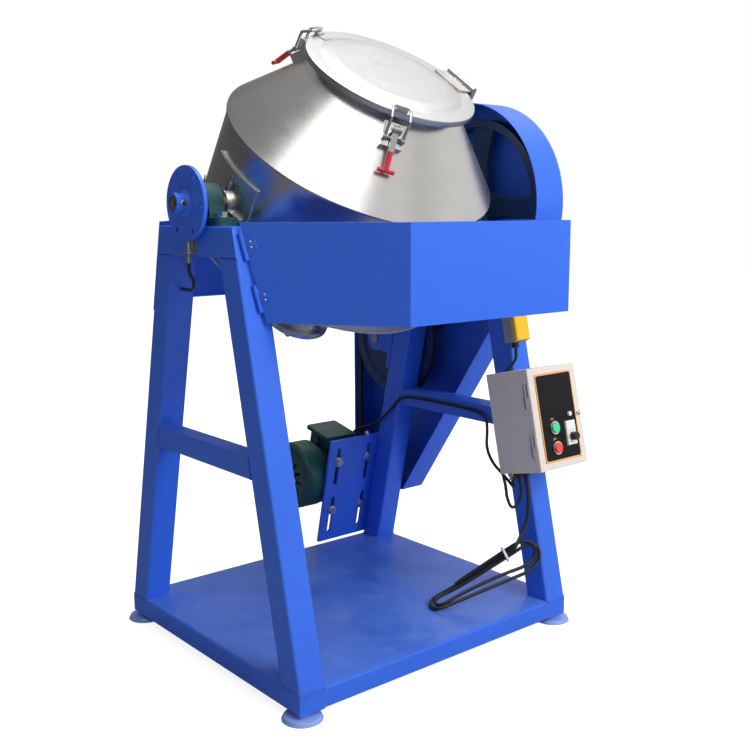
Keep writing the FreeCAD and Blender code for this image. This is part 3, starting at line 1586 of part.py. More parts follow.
def latch_keepers():
    """Hooked plates on the lid that the bails pull down."""
    solids = []
    top = lid_underside + lid_sheet
    r_bar = bail_bar_radius_from_axis
    half = keeper_width / 2
    seat = keeper_height()
    for which in latch_angles:
        plate = box((lid_dish_radius + 3, -half, top), (lid_radius - 2, half, top + keeper_thickness))
        rise = box((r_bar - 10, -half, top), (r_bar - 10 + keeper_thickness, half, seat))
        shelf = box((r_bar - 10, -half, seat - keeper_thickness), (r_bar + 6, half, seat))
        lip = box((r_bar + 4, -half, seat - keeper_thickness), (r_bar + 6, half, seat + keeper_lip))
        solids.append(latch_frame(fused([plate, rise, shelf, lip]), which))
    return Part.makeCompound(solids)


def arc_path(points, bend=None):
    """Straight runs joined by tangent arcs, as edges, with the least arc radius; bend caps the radius."""
    pts = [V(*p) for p in points]
    edges = []
    start = pts[0]
    least = None
    for i in range(1, len(pts) - 1):
        before = pts[i - 1] - pts[i]
        after = pts[i + 1] - pts[i]
        turn = math.pi - before.getAngle(after)
        cut = 0.45 * min(before.Length, after.Length)
        radius = cut / math.tan(turn / 2)
        if bend is not None and radius > bend:
            radius = bend
            cut = radius * math.tan(turn / 2)
        least = radius if least is None else min(least, radius)
        before.normalize()
        after.normalize()
        p = pts[i] + before * cut
        q = pts[i] + after * cut
        bisector = before + after
        bisector.normalize()
        centre = pts[i] + bisector * math.hypot(radius, cut)
        middle = centre - bisector * radius
        edges.append(Part.LineSegment(start, p).toShape())
        edges.append(Part.Arc(p, middle, q).toShape())
        start = q
    edges.append(Part.LineSegment(start, pts[-1]).toShape())
    return edges, least


def cord(points, radius, name):
    """Round cord along a route; its least bend is printed."""
    edges, least = arc_path(points)
    wire = Part.Wire(edges)
    first = V(*points[1]) - V(*points[0])
    circle = Part.Wire([Part.makeCircle(radius, V(*points[0]), first)])
    solid = wire.makePipeShell([circle], True, False)
    length = sum(e.Length for e in edges)
    print(name, "length", round(length, 1), "least bend", round(least, 1),
          "volume ratio", round(solid.Volume / (math.pi * radius ** 2 * length), 4))
    return solid


def box_gland_exit(place):
    """Two points of a cable in a gland under the control box: inside it and below it."""
    x = box_gland_places[place]
    low = box_low - box_gland_length
    return [front_machine_point(x, -box_gland_back, low + cable_inside),
            front_machine_point(x, -box_gland_back, low - cable_drop)]


def motor_cable_route():
    """From the terminal box over the motor plate's edge and along the cross tube to the control box."""
    x = motor_shoulder - motor_body_length + terminal_from_fan + terminal_size / 2 + gland_length
    y, z = rear_machine_point(plate_thickness + motor_height, motor_centre_up + motor_fin_radius + 4)
    start = [(x - cable_inside, y, z), (x + cable_drop, y, z)]
    rear = [(px,) + rear_machine_point(py, pz) for px, py, pz in motor_cable_rear]
    along = [(cross_cable_x, end, cross_top - cross_cable_drop) for end in cross_cable_ends]
    front = [front_machine_point(*p) for p in motor_cable_front]
    return start + rear + along + front + box_gland_exit(0)[::-1]


def switch_cable_route():
    """From the interlock switch down behind the control box and up into it with a slack loop."""
    y = -switch_depth / 2
    low = switch_low - switch_gland_length
    start = [front_machine_point(switch_gland_x, y, low + cable_inside),
             front_machine_point(switch_gland_x, y, low - cable_drop)]
    return start + [front_machine_point(*p) for p in switch_cable_points] + box_gland_exit(1)[::-1]


def sensor_cable_route():
    """From the speed sensor into the left rear leg."""
    x = disc_face + disc_thickness / 2
    low = spin_z - disc_radius - 2 - sensor_length
    face = leg_out(sensor_hole_z) - tube_depth * math.sqrt(1 + lean * lean)
    hole = [(sensor_hole_x, face - cable_drop, sensor_hole_z), (sensor_hole_x, face + cable_inside, sensor_hole_z)]
    return [(x, 0, low), (x, 0, low - cable_drop)] + sensor_cable_middle + hole


def power_cord_route():
    return box_gland_exit(2) + [front_machine_point(*p) for p in power_cord_points]


def hank_route():
    """From the end of the hanging cord around the long loops of the tied hank."""
    low = V(*hank_low_end)
    span = V(*hank_high_end) - low
    before, start = [V(*p) for p in power_cord_route()[-2:]]
    onward = start - before
    onward.normalize()
    route = [tuple(start), tuple(start + onward * hank_lead)]
    for along, across, over in hank_turns:
        side = V(*hank_low_side) * (1 - along) + V(*hank_high_side) * along
        side.normalize()
        lift = span.cross(side)
        lift.normalize()
        half = hank_low_half + (hank_high_half - hank_low_half) * along
        route.append(tuple(low + span * along + side * (half * across) + lift * over))
    return route


def switch_cable():
    """The interlock switch's cable and the speed sensor's cable."""
    return Part.makeCompound([cord(switch_cable_route(), cable_radius, "switch_cable"),
                              cord(sensor_cable_route(), cable_radius, "sensor_cable")])


def speed_sensor():
    """Proximity sensor under the left beam, aimed at the index disc's rim."""
    x = disc_face + disc_thickness / 2
    return rod((x, 0, spin_z - disc_radius - 2 - sensor_length), (x, 0, spin_z - disc_radius - 2), sensor_radius)


def sensor_bracket():
    """Angle on the left beam's outer face that holds the speed sensor."""
    x = disc_face + disc_thickness / 2
    top = spin_z - disc_radius - 2
    shelf_z = top - sensor_length * 0.6
    half = sensor_radius * 2.2
    shelf = box((x - sensor_radius * 2, -half, shelf_z), (-half_width, half, shelf_z + 3))
    upright = box((-half_width - 3, -half, shelf_z), (-half_width, half, shelf_z + 34))
    return shelf.fuse(upright).cut(rod((x, 0, shelf_z - 1), (x, 0, shelf_z + 4), sensor_radius)).removeSplitter()


def machine_box():
    """Middle of the machine's outer box in X and Y, from the pieces that reach furthest."""
    y, _ = motor_axis()
    rear = y + motor_fin_radius + 2
    front = -bay_depth
    return (disc_hub_end + guard_far) / 2, (front + rear) / 2


def nodes():
    """Every node's name with the function that builds it."""
    return {
        "base_rails": base_rails,
        "deck_plate": deck_plate,
        "feet": feet,
        "left_legs": lambda: trestle(-1),
        "right_legs": lambda: trestle(1),
        "top_beams": top_beams,
        "cross_tubes": cross_tubes,
        "bearing_housings": lambda: bearing_pair(bearing_housing),
        "bearing_inserts": lambda: bearing_pair(bearing_insert),
        "bearing_bolts": bearing_bolts,
        "belt_guard": belt_guard,
        "rear_guard": rear_guard,
        "belt_guard_tabs": guard_tabs,
        "guard_fasteners": guard_fasteners,
        "motor_plate": motor_plate,
        "motor_fasteners": motor_fasteners,
        "motor_frame": motor_frame,
        "motor_fan_cover": motor_fan_cover,
        "motor_terminal_box": motor_terminal_box,
        "jack_housing": jack_housing,
        "motor_belt": motor_belt,
        "drum_belts": drum_belts,
        "control_box": control_box,
        "interlock_switch": interlock_switch,
        "speed_sensor": speed_sensor,
        "sensor_bracket": sensor_bracket,
        "guard_hinge_frame": lambda: guard_hinges("leg"),
        "motor_cable": lambda: cord(motor_cable_route(), cable_radius, "motor_cable"),
        "switch_cable": switch_cable,
        "power_cord": lambda: cord(power_cord_route(), power_cord_radius, "power_cord"),
        "power_cord_hank": lambda: cord(hank_route(), power_cord_radius, "power_cord_hank"),
        "drum_shell": drum_shell,
        "trunnions": trunnions,
        "drum_shafts": drum_shafts,
        "bearing_inner_rings": lambda: bearing_pair(bearing_inner_ring),
        "index_disc": index_disc,
        "drum_pulley": drum_pulley,
        "latch_brackets": latch_brackets,
        "outlet_cap": outlet_cap,
        "lid_hinge_base": lid_hinge_base,
        "lid": lid,
        "lid_hinge_leaf": lid_hinge_leaf,
        "lid_seal": lid_seal,
        "latch_keepers": latch_keepers,
        "front_latch_handle": lambda: latch_handle("front"),
        "front_latch_bail": lambda: latch_bail("front"),
        "rear_latch_handle": lambda: latch_handle("rear"),
        "rear_latch_bail": lambda: latch_bail("rear"),
        "jack_shaft": jack_shaft,
        "jack_pulleys": jack_pulleys,
        "motor_shaft": motor_shaft,
        "motor_pulley": motor_pulley,
        "guard_door": guard_door,
        "guard_hinge_door": lambda: guard_hinges("door"),
        "control_box_door": control_box_door,
        "control_panel": control_panel,
        "panel_fittings": panel_fittings,
        "start_button": lambda: push_button(green_up),
        "stop_button": lambda: push_button(red_up),
        "timer_knob": timer_knob,
    }


def main():
    os.makedirs("parts", exist_ok=True)
    mid_x, mid_y = machine_box()
    for name, make in nodes().items():
        shape = make()
        shape.translate(V(-mid_x, -mid_y, 0))
        shape.exportStep(os.path.join("parts", name + ".step"))


if __name__ == "__main__":
    main()
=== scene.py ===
import bpy, bmesh, json, math
from mathutils import Matrix, Vector, noise

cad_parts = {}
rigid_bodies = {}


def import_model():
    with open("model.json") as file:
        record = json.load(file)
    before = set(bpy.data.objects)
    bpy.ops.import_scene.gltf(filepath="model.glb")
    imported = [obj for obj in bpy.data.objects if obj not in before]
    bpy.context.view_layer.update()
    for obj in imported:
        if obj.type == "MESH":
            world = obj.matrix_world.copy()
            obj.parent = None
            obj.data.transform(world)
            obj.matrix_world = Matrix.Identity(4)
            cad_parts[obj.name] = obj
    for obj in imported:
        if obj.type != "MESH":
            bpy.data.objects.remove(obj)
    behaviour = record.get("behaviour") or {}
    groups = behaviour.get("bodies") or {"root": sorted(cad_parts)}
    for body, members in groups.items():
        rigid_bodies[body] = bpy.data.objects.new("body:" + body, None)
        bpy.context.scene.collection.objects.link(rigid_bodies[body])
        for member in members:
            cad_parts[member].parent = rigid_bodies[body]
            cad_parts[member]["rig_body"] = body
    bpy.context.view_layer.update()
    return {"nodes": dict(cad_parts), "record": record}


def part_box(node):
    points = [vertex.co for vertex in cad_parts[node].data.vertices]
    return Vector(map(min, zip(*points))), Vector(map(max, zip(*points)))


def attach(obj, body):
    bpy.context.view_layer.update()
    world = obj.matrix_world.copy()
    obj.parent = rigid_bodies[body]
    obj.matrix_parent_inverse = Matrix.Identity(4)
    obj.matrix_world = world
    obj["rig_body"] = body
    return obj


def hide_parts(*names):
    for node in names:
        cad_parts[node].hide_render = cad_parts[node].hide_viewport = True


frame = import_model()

nodes = frame["nodes"]
slotOf = {part["node"]: part["material_slot"] for part in frame["record"]["subparts"]}
bodyOf = {name: obj["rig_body"] for name, obj in nodes.items()}
scene = bpy.context.scene
print("frame loaded:", len(nodes), "CAD nodes")

# places that several pieces share, in the source's millimetres before the machine is centred
rowShift = Vector((14.5, 29.611, 0.0))  # from the source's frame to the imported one
legSpec = {"foot": 56.0, "rise": 850.0, "footOut": 330.0, "topOut": 139.0, "depth": 60.0, "lean": 12.66434}
drumAxis = {"centre": (-12.0, 0.0, 948.9), "tilt": 34.0}
leanAngle = math.radians(legSpec["lean"])


def middle(name):
    low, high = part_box(name)
    return (Vector(low) + Vector(high)) / 2


def rowPoint(x, y, z):  # a point of the source in metres
    return (Vector((x, y, z)) - rowShift) / 1000


def frontPoint(x, y, z):  # the front leg leans, and what it carries is drawn along it
    c, s = math.cos(leanAngle), math.sin(leanAngle)
    return rowPoint(x, -legSpec["footOut"] + y * c + z * s, legSpec["foot"] - y * s + z * c)


def frontLocal(place):  # the way back, from metres to the front leg's millimetres
    c, s = math.cos(leanAngle), math.sin(leanAngle)
    there = Vector(place) * 1000 + rowShift
    dy, dz = there.y + legSpec["footOut"], there.z - legSpec["foot"]
    return Vector((there.x, dy * c - dz * s, dy * s + dz * c))


def legOut(z):  # distance of a leg's outer face from the spin plane
    d = legSpec
    return d["footOut"] - (d["footOut"] - d["topOut"]) / d["rise"] * (z - d["foot"])


drumPlace = rowPoint(*drumAxis["centre"])
drumMatrix = Matrix.Translation(drumPlace) @ Matrix.Rotation(math.radians(drumAxis["tilt"]), 4, "X")
drumInverse = drumMatrix.inverted()


# camera at the photograph's viewing angle
cameraSpec = {
    "offset": (-1.3594, -1.7240), "height": 0.9338, "yaw": 50.065, "pitch": 9.372, "roll": -0.194,
    "lens": 47.78, "sensor": 36,
}
baseMiddle = middle("base_rails")
camera = bpy.data.cameras.new("photoCamera")
camera.lens = cameraSpec["lens"]
camera.sensor_width = cameraSpec["sensor"]
cameraObject = bpy.data.objects.new("photoCamera", camera)
scene.collection.objects.link(cameraObject)
yaw, pitch = math.radians(cameraSpec["yaw"]), math.radians(cameraSpec["pitch"])
ahead = Vector((math.cos(pitch) * math.cos(yaw), math.cos(pitch) * math.sin(yaw), -math.sin(pitch)))
turn = ahead.to_track_quat("-Z", "Y").to_matrix() @ Matrix.Rotation(math.radians(cameraSpec["roll"]), 3, "Z")
offsetX, offsetY = cameraSpec["offset"]
cameraPlace = Vector((baseMiddle.x + offsetX, baseMiddle.y + offsetY, cameraSpec["height"]))
cameraObject.matrix_world = Matrix.Translation(cameraPlace) @ turn.to_4x4()
scene.camera = cameraObject
scene.view_settings.view_transform = "Standard"


# cables: each route's points are the control points of one smooth spline
cableSpec = {
    "powerCord": {
        "diameter": 0.008, "length": 1.50, "farEnd": "bare", "stiffness": "medium", "lay": "coiled",
        "nodes": ["power_cord", "power_cord_hank"],
        "points": [
            (0.2595, -0.3231, 0.3553), (0.2595, -0.3286, 0.3309), (0.2645, -0.3276, 0.3070),
            (0.2685, -0.3246, 0.2600), (0.2585, -0.3236, 0.2310), (0.2345, -0.3236, 0.2000),
            (0.2259, -0.3236, 0.1889), (0.2122, -0.2739, 0.1506), (0.1400, -0.2140, 0.0870),
            (0.0960, -0.1860, 0.0612), (0.0600, -0.2390, 0.0612), (0.1110, -0.2640, 0.0790),
            (0.2150, -0.3170, 0.1180), (0.2620, -0.3390, 0.1330), (0.2910, -0.3415, 0.1500),
            (0.2925, -0.3385, 0.1830), (0.2690, -0.3270, 0.1960), (0.2290, -0.3085, 0.1700),
            (0.1420, -0.2270, 0.0890), (0.0965, -0.1990, 0.0680), (0.0740, -0.2390, 0.0655),
            (0.1180, -0.2620, 0.0930), (0.2030, -0.3110, 0.1330), (0.2500, -0.3350, 0.1460),
            (0.2770, -0.3400, 0.1620), (0.2790, -0.3390, 0.1920), (0.2560, -0.3250, 0.2060),
            (0.2285, -0.2970, 0.1815), (0.1440, -0.2215, 0.0985)]},
    "motorCable": {
        "diameter": 0.007, "length": 0.815, "farEnd": "object", "stiffness": "medium", "lay": "loose",
        "nodes": ["motor_cable"],
        "points": [
            (0.2705, 0.3399, 0.3273), (0.2955, 0.3399, 0.3273), (0.2915, 0.3154, 0.3480),
            (0.2875, 0.2554, 0.3660), (0.2885, 0.2204, 0.3800), (0.2945, 0.1704, 0.4250),
            (0.2945, 0.1404, 0.4580), (0.2945, 0.0944, 0.4670), (0.2945, -0.1296, 0.4670),
            (0.2945, -0.1676, 0.4550), (0.2855, -0.1796, 0.4250), (0.2615, -0.1996, 0.3930),
            (0.2515, -0.2296, 0.3640), (0.2455, -0.2696, 0.3450), (0.2355, -0.3016, 0.3330),
            (0.2175, -0.3286, 0.3309), (0.2175, -0.3231, 0.3553)]},
    "switchCable": {
        "diameter": 0.007, "length": 0.466, "farEnd": "object", "stiffness": "medium", "lay": "loose",
        "nodes": ["switch_cable"],
        "points": [
            (0.3035, -0.2456, 0.6320), (0.3035, -0.2510, 0.6076), (0.2935, -0.2476, 0.5900),
            (0.2815, -0.2296, 0.5620), (0.2515, -0.2436, 0.4800), (0.2295, -0.2696, 0.3900),
            (0.2255, -0.2867, 0.3510), (0.2215, -0.2987, 0.3300), (0.2215, -0.3026, 0.3040),
            (0.2275, -0.3117, 0.2790), (0.2445, -0.3156, 0.2880), (0.2485, -0.3216, 0.3100),
            (0.2385, -0.3286, 0.3309), (0.2385, -0.3231, 0.3553)]},
    "sensorCable": {
        "diameter": 0.007, "length": 0.155, "farEnd": "object", "stiffness": "medium", "lay": "loose",
        "nodes": ["switch_cable"],
        "points": [
            (-0.4025, -0.0296, 0.8344), (-0.4025, -0.0296, 0.8144), (-0.3885, -0.0236, 0.8000),
            (-0.3765, 0.0004, 0.7840), (-0.3655, 0.0284, 0.7760), (-0.3595, 0.0571, 0.7760),
            (-0.3595, 0.0821, 0.7760)]},
}


def makeCable(name, spec):
    curve = bpy.data.curves.new(name, "CURVE")
    curve.dimensions = "3D"
    spline = curve.splines.new("NURBS")
    spline.points.add(len(spec["points"]) - 1)
    for point, place in zip(spline.points, spec["points"]):
        point.co = (*place, 1)
        point.radius = spec["diameter"] / 2  # metres, so that the curve's own box is true
    spline.use_endpoint_u = True
    spline.order_u = 3
    spline.resolution_u = 16
    curve.bevel_depth = 1.0
    curve.bevel_resolution = 5
    curve.use_fill_caps = True
    obj = bpy.data.objects.new(name, curve)
    scene.collection.objects.link(obj)
    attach(obj, "frame")
    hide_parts(*spec["nodes"])
    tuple(spec["points"][0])
    return obj


cables = [makeCable(name, spec) for name, spec in cableSpec.items()]
print("camera and cables in place")


# shader helpers
def feed(tree, made, inputs):  # a socket is linked, and anything else is set
    for key, value in inputs.items():
        if hasattr(value, "links"):
            tree.links.new(value, made.inputs[key])
        else:
            made.inputs[key].default_value = value
    return made


def addNode(tree, kind, inputs=None, **settings):
    made = tree.nodes.new(kind)
    for key, value in settings.items():
        setattr(made, key, value)
    return feed(tree, made, inputs or {})


def mathNode(tree, operation, *values, clamp=False):
    inputs = dict(enumerate(values))
    return addNode(tree, "ShaderNodeMath", inputs, operation=operation, use_clamp=clamp).outputs[0]


def mixColour(tree, factor, first, second):
    return addNode(tree, "ShaderNodeMix", {0: factor, 6: first, 7: second}, data_type="RGBA").outputs[2]


def noiseNode(tree, where, scale, detail, roughness=0.5):
    inputs = {"Vector": where, "Scale": scale, "Detail": detail, "Roughness": roughness}
    return addNode(tree, "ShaderNodeTexNoise", inputs).outputs["Fac"]


def rangeNode(tree, value, low, high, toLow=0.0, toHigh=1.0):
    inputs = {"Value": value, "From Min": low, "From Max": high, "To Min": toLow, "To Max": toHigh}
    return addNode(tree, "ShaderNodeMapRange", inputs).outputs[0]


def startGroup(name, inputs, outputs):
    group = bpy.data.node_groups.new(name, "ShaderNodeTree")
    for socketName, kind, value in inputs:
        made = group.interface.new_socket(name=socketName, in_out="INPUT", socket_type=kind)
        if value is not None:
            made.default_value = value
    for socketName, kind in outputs:
        group.interface.new_socket(name=socketName, in_out="OUTPUT", socket_type=kind)
    return group, group.nodes.new("NodeGroupInput"), group.nodes.new("NodeGroupOutput")


floatKind, colourKind, vectorKind = "NodeSocketFloat", "NodeSocketColor", "NodeSocketVector"


def makeToneGroup():  # slow drift of a colour over the surface
    group, gin, gout = startGroup("colourDrift", [
        ("Colour", colourKind, None), ("Other", colourKind, None), ("Scale", floatKind, 4.0),
        ("Amount", floatKind, 0.3), ("Vector", vectorKind, None)],
        [("Colour", colourKind), ("Value", floatKind)])
    wide = noiseNode(group, gin.outputs["Vector"], gin.outputs["Scale"], 5.0, 0.6)
    spread = rangeNode(group, wide, 0.35, 0.68)
    share = mathNode(group, "MULTIPLY", spread, gin.outputs["Amount"])
    shade = mixColour(group, share, gin.outputs["Colour"], gin.outputs["Other"])
    group.links.new(shade, gout.inputs["Colour"])
    group.links.new(spread, gout.inputs["Value"])
    return group


def makePeelGroup():  # orange peel of sprayed paint and the faint waves of sheet under it
    group, gin, gout = startGroup("paintPeel", [
        ("Vector", vectorKind, None), ("Fine", floatKind, 700.0), ("Wave", floatKind, 9.0)],
        [("Height", floatKind), ("Rough", floatKind)])
    fine = noiseNode(group, gin.outputs["Vector"], gin.outputs["Fine"], 2.0)
    wave = noiseNode(group, gin.outputs["Vector"], gin.outputs["Wave"], 1.0)
    smear = noiseNode(group, gin.outputs["Vector"], 26.0, 6.0, 0.7)
    group.links.new(mathNode(group, "MULTIPLY_ADD", wave, 2.5, fine), gout.inputs["Height"])
    group.links.new(smear, gout.inputs["Rough"])
    return group


def makeWearAndHighlightGroup():  # where edges are rubbed, with a painted highlight along them: the difference between the true and the rounded normal
    group, gin, gout = startGroup("edgeWearAndHighlight", [
        ("Radius", floatKind, 0.002), ("Amount", floatKind, 0.5), ("Vector", vectorKind, None)],
        [("Mask", floatKind)])
    rounded = addNode(group, "ShaderNodeBevel", {"Radius": gin.outputs["Radius"]}, samples=4)
    plain = addNode(group, "ShaderNodeNewGeometry")
    normals = {0: rounded.outputs[0], 1: plain.outputs["Normal"]}
    dot = addNode(group, "ShaderNodeVectorMath", normals, operation="DOT_PRODUCT")
    edge = rangeNode(group, dot.outputs["Value"], 0.995, 0.80)
    patch = noiseNode(group, gin.outputs["Vector"], 45.0, 5.0, 0.75)
    both = mathNode(group, "MULTIPLY", edge, rangeNode(group, patch, 0.42, 0.60))
    mask = mathNode(group, "MULTIPLY", both, gin.outputs["Amount"], clamp=True)
    group.links.new(mask, gout.inputs["Mask"])
    return group


def makeDustAndSheenGroup():  # fine dust on what faces up, and a painted sheen on top faces where its colour is lighter than the surface
    group, gin, gout = startGroup("topDustAndSheen", [
        ("Amount", floatKind, 0.2), ("Vector", vectorKind, None)], [("Mask", floatKind)])
    plain = addNode(group, "ShaderNodeNewGeometry")
    parts = addNode(group, "ShaderNodeSeparateXYZ", {0: plain.outputs["Normal"]})
    up = rangeNode(group, parts.outputs["Z"], 0.55, 1.0)
    cloud = noiseNode(group, gin.outputs["Vector"], 14.0, 8.0, 0.75)
    both = mathNode(group, "MULTIPLY", up, rangeNode(group, cloud, 0.35, 0.75))
    group.links.new(mathNode(group, "MULTIPLY", both, gin.outputs["Amount"]), gout.inputs["Mask"])
    return group


def makeSpunGroup():  # rings left by polishing on a turning surface, about the local Z axis
    group, gin, gout = startGroup("spunLines", [
        ("Vector", vectorKind, None), ("Density", floatKind, 900.0)],
        [("Lines", floatKind), ("Streak", floatKind)])
    parts = addNode(group, "ShaderNodeSeparateXYZ", {0: gin.outputs["Vector"]})
    flat = addNode(group, "ShaderNodeCombineXYZ", {0: parts.outputs["X"], 1: parts.outputs["Y"]})
    radius = addNode(group, "ShaderNodeVectorMath", {0: flat.outputs[0]},
                     operation="LENGTH").outputs["Value"]
    angle = mathNode(group, "ARCTAN2", parts.outputs["Y"], parts.outputs["X"])

    def wound(density, turns):  # the pattern changes fast across the rings and slowly along them
        return addNode(group, "ShaderNodeCombineXYZ", {
            0: mathNode(group, "MULTIPLY", radius, density),
            1: mathNode(group, "MULTIPLY", parts.outputs["Z"], density),
            2: mathNode(group, "MULTIPLY", angle, turns)}).outputs[0]

    lines = noiseNode(group, wound(gin.outputs["Density"], 3.0), 1.0, 3.0)
    streak = noiseNode(group, wound(22.0, 1.3), 1.0, 5.0, 0.6)
    group.links.new(lines, gout.inputs["Lines"])
    group.links.new(streak, gout.inputs["Streak"])
    return group


def makeCastGroup():  # sandy skin of a painted casting
    group, gin, gout = startGroup("castSkin", [
        ("Vector", vectorKind, None), ("Scale", floatKind, 320.0)], [("Height", floatKind)])
    sand = noiseNode(group, gin.outputs["Vector"], gin.outputs["Scale"], 4.0, 0.65)
    pits = addNode(group, "ShaderNodeTexVoronoi", {"Vector": gin.outputs["Vector"], "Scale": 120.0})
    low = rangeNode(group, pits.outputs["Distance"], 0.0, 0.25)
    group.links.new(mathNode(group, "MULTIPLY_ADD", low, 0.4, sand), gout.inputs["Height"])
    return group


groups = {"drift": makeToneGroup(), "peel": makePeelGroup(), "wearAndHighlight": makeWearAndHighlightGroup(),
          "dustAndSheen": makeDustAndSheenGroup(), "spun": makeSpunGroup(), "cast": makeCastGroup()}


def useGroup(tree, name, **inputs):
    made = tree.nodes.new("ShaderNodeGroup")
    made.node_tree = groups[name]
    return feed(tree, made, inputs).outputs


def startMaterial(name):
    material = bpy.data.materials.new(name)
    material.use_nodes = True
    tree = material.node_tree
    tree.nodes.clear()
    out = tree.nodes.new("ShaderNodeOutputMaterial")
    shader = tree.nodes.new("ShaderNodeBsdfPrincipled")
    tree.links.new(shader.outputs[0], out.inputs[0])
    where = tree.nodes.new("ShaderNodeTexCoord").outputs["Object"]
    return material, tree, shader, where


def roughFrom(tree, shader, value, rough):
    tree.links.new(rangeNode(tree, value, 0.3, 0.7, *rough), shader.inputs["Roughness"])


def addBump(tree, shader, height, strength, distance=0.0004):
    bump = addNode(tree, "ShaderNodeBump", {"Height": height, "Strength": strength, "Distance": distance})
    tree.links.new(bump.outputs[0], shader.inputs["Normal"])


def paint(name, colour, other, wornAndLitEdgeColour, rough=(0.26, 0.40), coat=0.35, drift=0.5, wearAndHighlight=0.6, dustAndSheen=0.10,
          dustAndSheenColour=(0.42, 0.50, 0.72), peel=0.10, cast=False):
    material, tree, shader, where = startMaterial(name)
    deeper = [c * 0.86 for c in colour]
    tone = useGroup(tree, "drift", Colour=(*colour, 1), Other=(*other, 1), Scale=3.5, Amount=drift,
                    Vector=where)
    fine = useGroup(tree, "drift", Colour=tone["Colour"], Other=(*deeper, 1), Scale=60.0, Amount=0.35,
                    Vector=where)
    wornAndLitEdge = useGroup(tree, "wearAndHighlight", Radius=0.0016, Amount=wearAndHighlight, Vector=where)
    dustAndSheenOut = useGroup(tree, "dustAndSheen", Amount=dustAndSheen, Vector=where)
    # rubbed edges mixed towards a lighter colour: real wear, and a painted highlight where light catches the
    # edges
    shade = mixColour(tree, wornAndLitEdge["Mask"], fine["Colour"], (*wornAndLitEdgeColour, 1))
    # dust on top faces; where its colour is lighter, as on the feet and the deck, it is a painted sheen
    shade = mixColour(tree, dustAndSheenOut["Mask"], shade, (*dustAndSheenColour, 1))
    tree.links.new(shade, shader.inputs["Base Color"])
    skin = useGroup(tree, "peel", Vector=where, Fine=650.0, Wave=7.0)
    clean = rangeNode(tree, skin["Rough"], 0.3, 0.7, *rough)
    dulled = mathNode(tree, "MULTIPLY_ADD", dustAndSheenOut["Mask"], 0.5, clean, clamp=True)
    tree.links.new(dulled, shader.inputs["Roughness"])
    if cast:
        sand = useGroup(tree, "cast", Vector=where, Scale=380.0)
        addBump(tree, shader, sand["Height"], 0.35, 0.0006)
    else:
        addBump(tree, shader, skin["Height"], peel)
    shader.inputs["Coat Weight"].default_value = coat
    shader.inputs["Coat Roughness"].default_value = 0.12
    return material


def metal(name, colour, other, rough=(0.22, 0.36), bump=0.06, wearAndHighlight=0.0):
    material, tree, shader, where = startMaterial(name)
    shader.inputs["Metallic"].default_value = 1.0
    tone = useGroup(tree, "drift", Colour=(*colour, 1), Other=(*other, 1), Scale=6.0, Amount=0.6,
                    Vector=where)
    shade = tone["Colour"]
    roughFrom(tree, shader, tone["Value"], rough)
    brushed = addNode(tree, "ShaderNodeMapping", {"Vector": where, "Scale": (40.0, 400.0, 900.0)})
    addBump(tree, shader, noiseNode(tree, brushed.outputs[0], 1.0, 3.0), bump, 0.0002)
    if wearAndHighlight:
        # lighter edges: rubbed metal, and a painted highlight along them
        wornAndLitEdge = useGroup(tree, "wearAndHighlight", Radius=0.001, Amount=wearAndHighlight, Vector=where)
        shade = mixColour(tree, wornAndLitEdge["Mask"], shade, (0.9, 0.9, 0.88, 1))
    tree.links.new(shade, shader.inputs["Base Color"])
    return material


def turnedMetal(name, colour, other, rough, place, tilt, bump=0.0):  # polished on a lathe about one axis
    material, tree, shader, where = startMaterial(name)
    shader.inputs["Metallic"].default_value = 1.0
    darker = [c * 0.84 for c in colour]
    tone = useGroup(tree, "drift", Colour=(*colour, 1), Other=(*other, 1), Scale=6.0, Amount=0.6,
                    Vector=where)
    inputs = {"Vector": where, "Location": place, "Rotation": tilt}
    upright = addNode(tree, "ShaderNodeMapping", inputs, vector_type="TEXTURE")
    rings = useGroup(tree, "spun", Vector=upright.outputs[0], Density=900.0)
    share = mathNode(tree, "MULTIPLY", rings["Streak"], 0.55)
    tree.links.new(mixColour(tree, share, tone["Colour"], (*darker, 1)), shader.inputs["Base Color"])
    roughFrom(tree, shader, rings["Streak"], rough)
    if bump:
        addBump(tree, shader, rings["Lines"], bump, 0.0002)
    return material


def moulded(name, colour, other, rough=(0.3, 0.45), coat=0.0, bump=0.12, wearAndHighlight=0.25, dustAndSheen=0.05, specular=0.5):
    material, tree, shader, where = startMaterial(name)
    # the lighter tone for the edges is wear, and a painted highlight along them
    lighter = [min(1.0, c * 1.4 + 0.03) for c in colour]
    tone = useGroup(tree, "drift", Colour=(*colour, 1), Other=(*other, 1), Scale=30.0, Amount=0.5,
                    Vector=where)
    wornAndLitEdge = useGroup(tree, "wearAndHighlight", Radius=0.0008, Amount=wearAndHighlight, Vector=where)
    dustAndSheenOut = useGroup(tree, "dustAndSheen", Amount=dustAndSheen, Vector=where)
    shade = mixColour(tree, wornAndLitEdge["Mask"], tone["Colour"], (*lighter, 1))
    shade = mixColour(tree, dustAndSheenOut["Mask"], shade, (0.5, 0.5, 0.48, 1))
    tree.links.new(shade, shader.inputs["Base Color"])
    grain = noiseNode(tree, where, 500.0, 3.0)
    roughFrom(tree, shader, grain, rough)
    addBump(tree, shader, grain, bump, 0.0003)
    shader.inputs["Specular IOR Level"].default_value = specular
    shader.inputs["Coat Weight"].default_value = coat
    shader.inputs["Coat Roughness"].default_value = 0.08
    return material


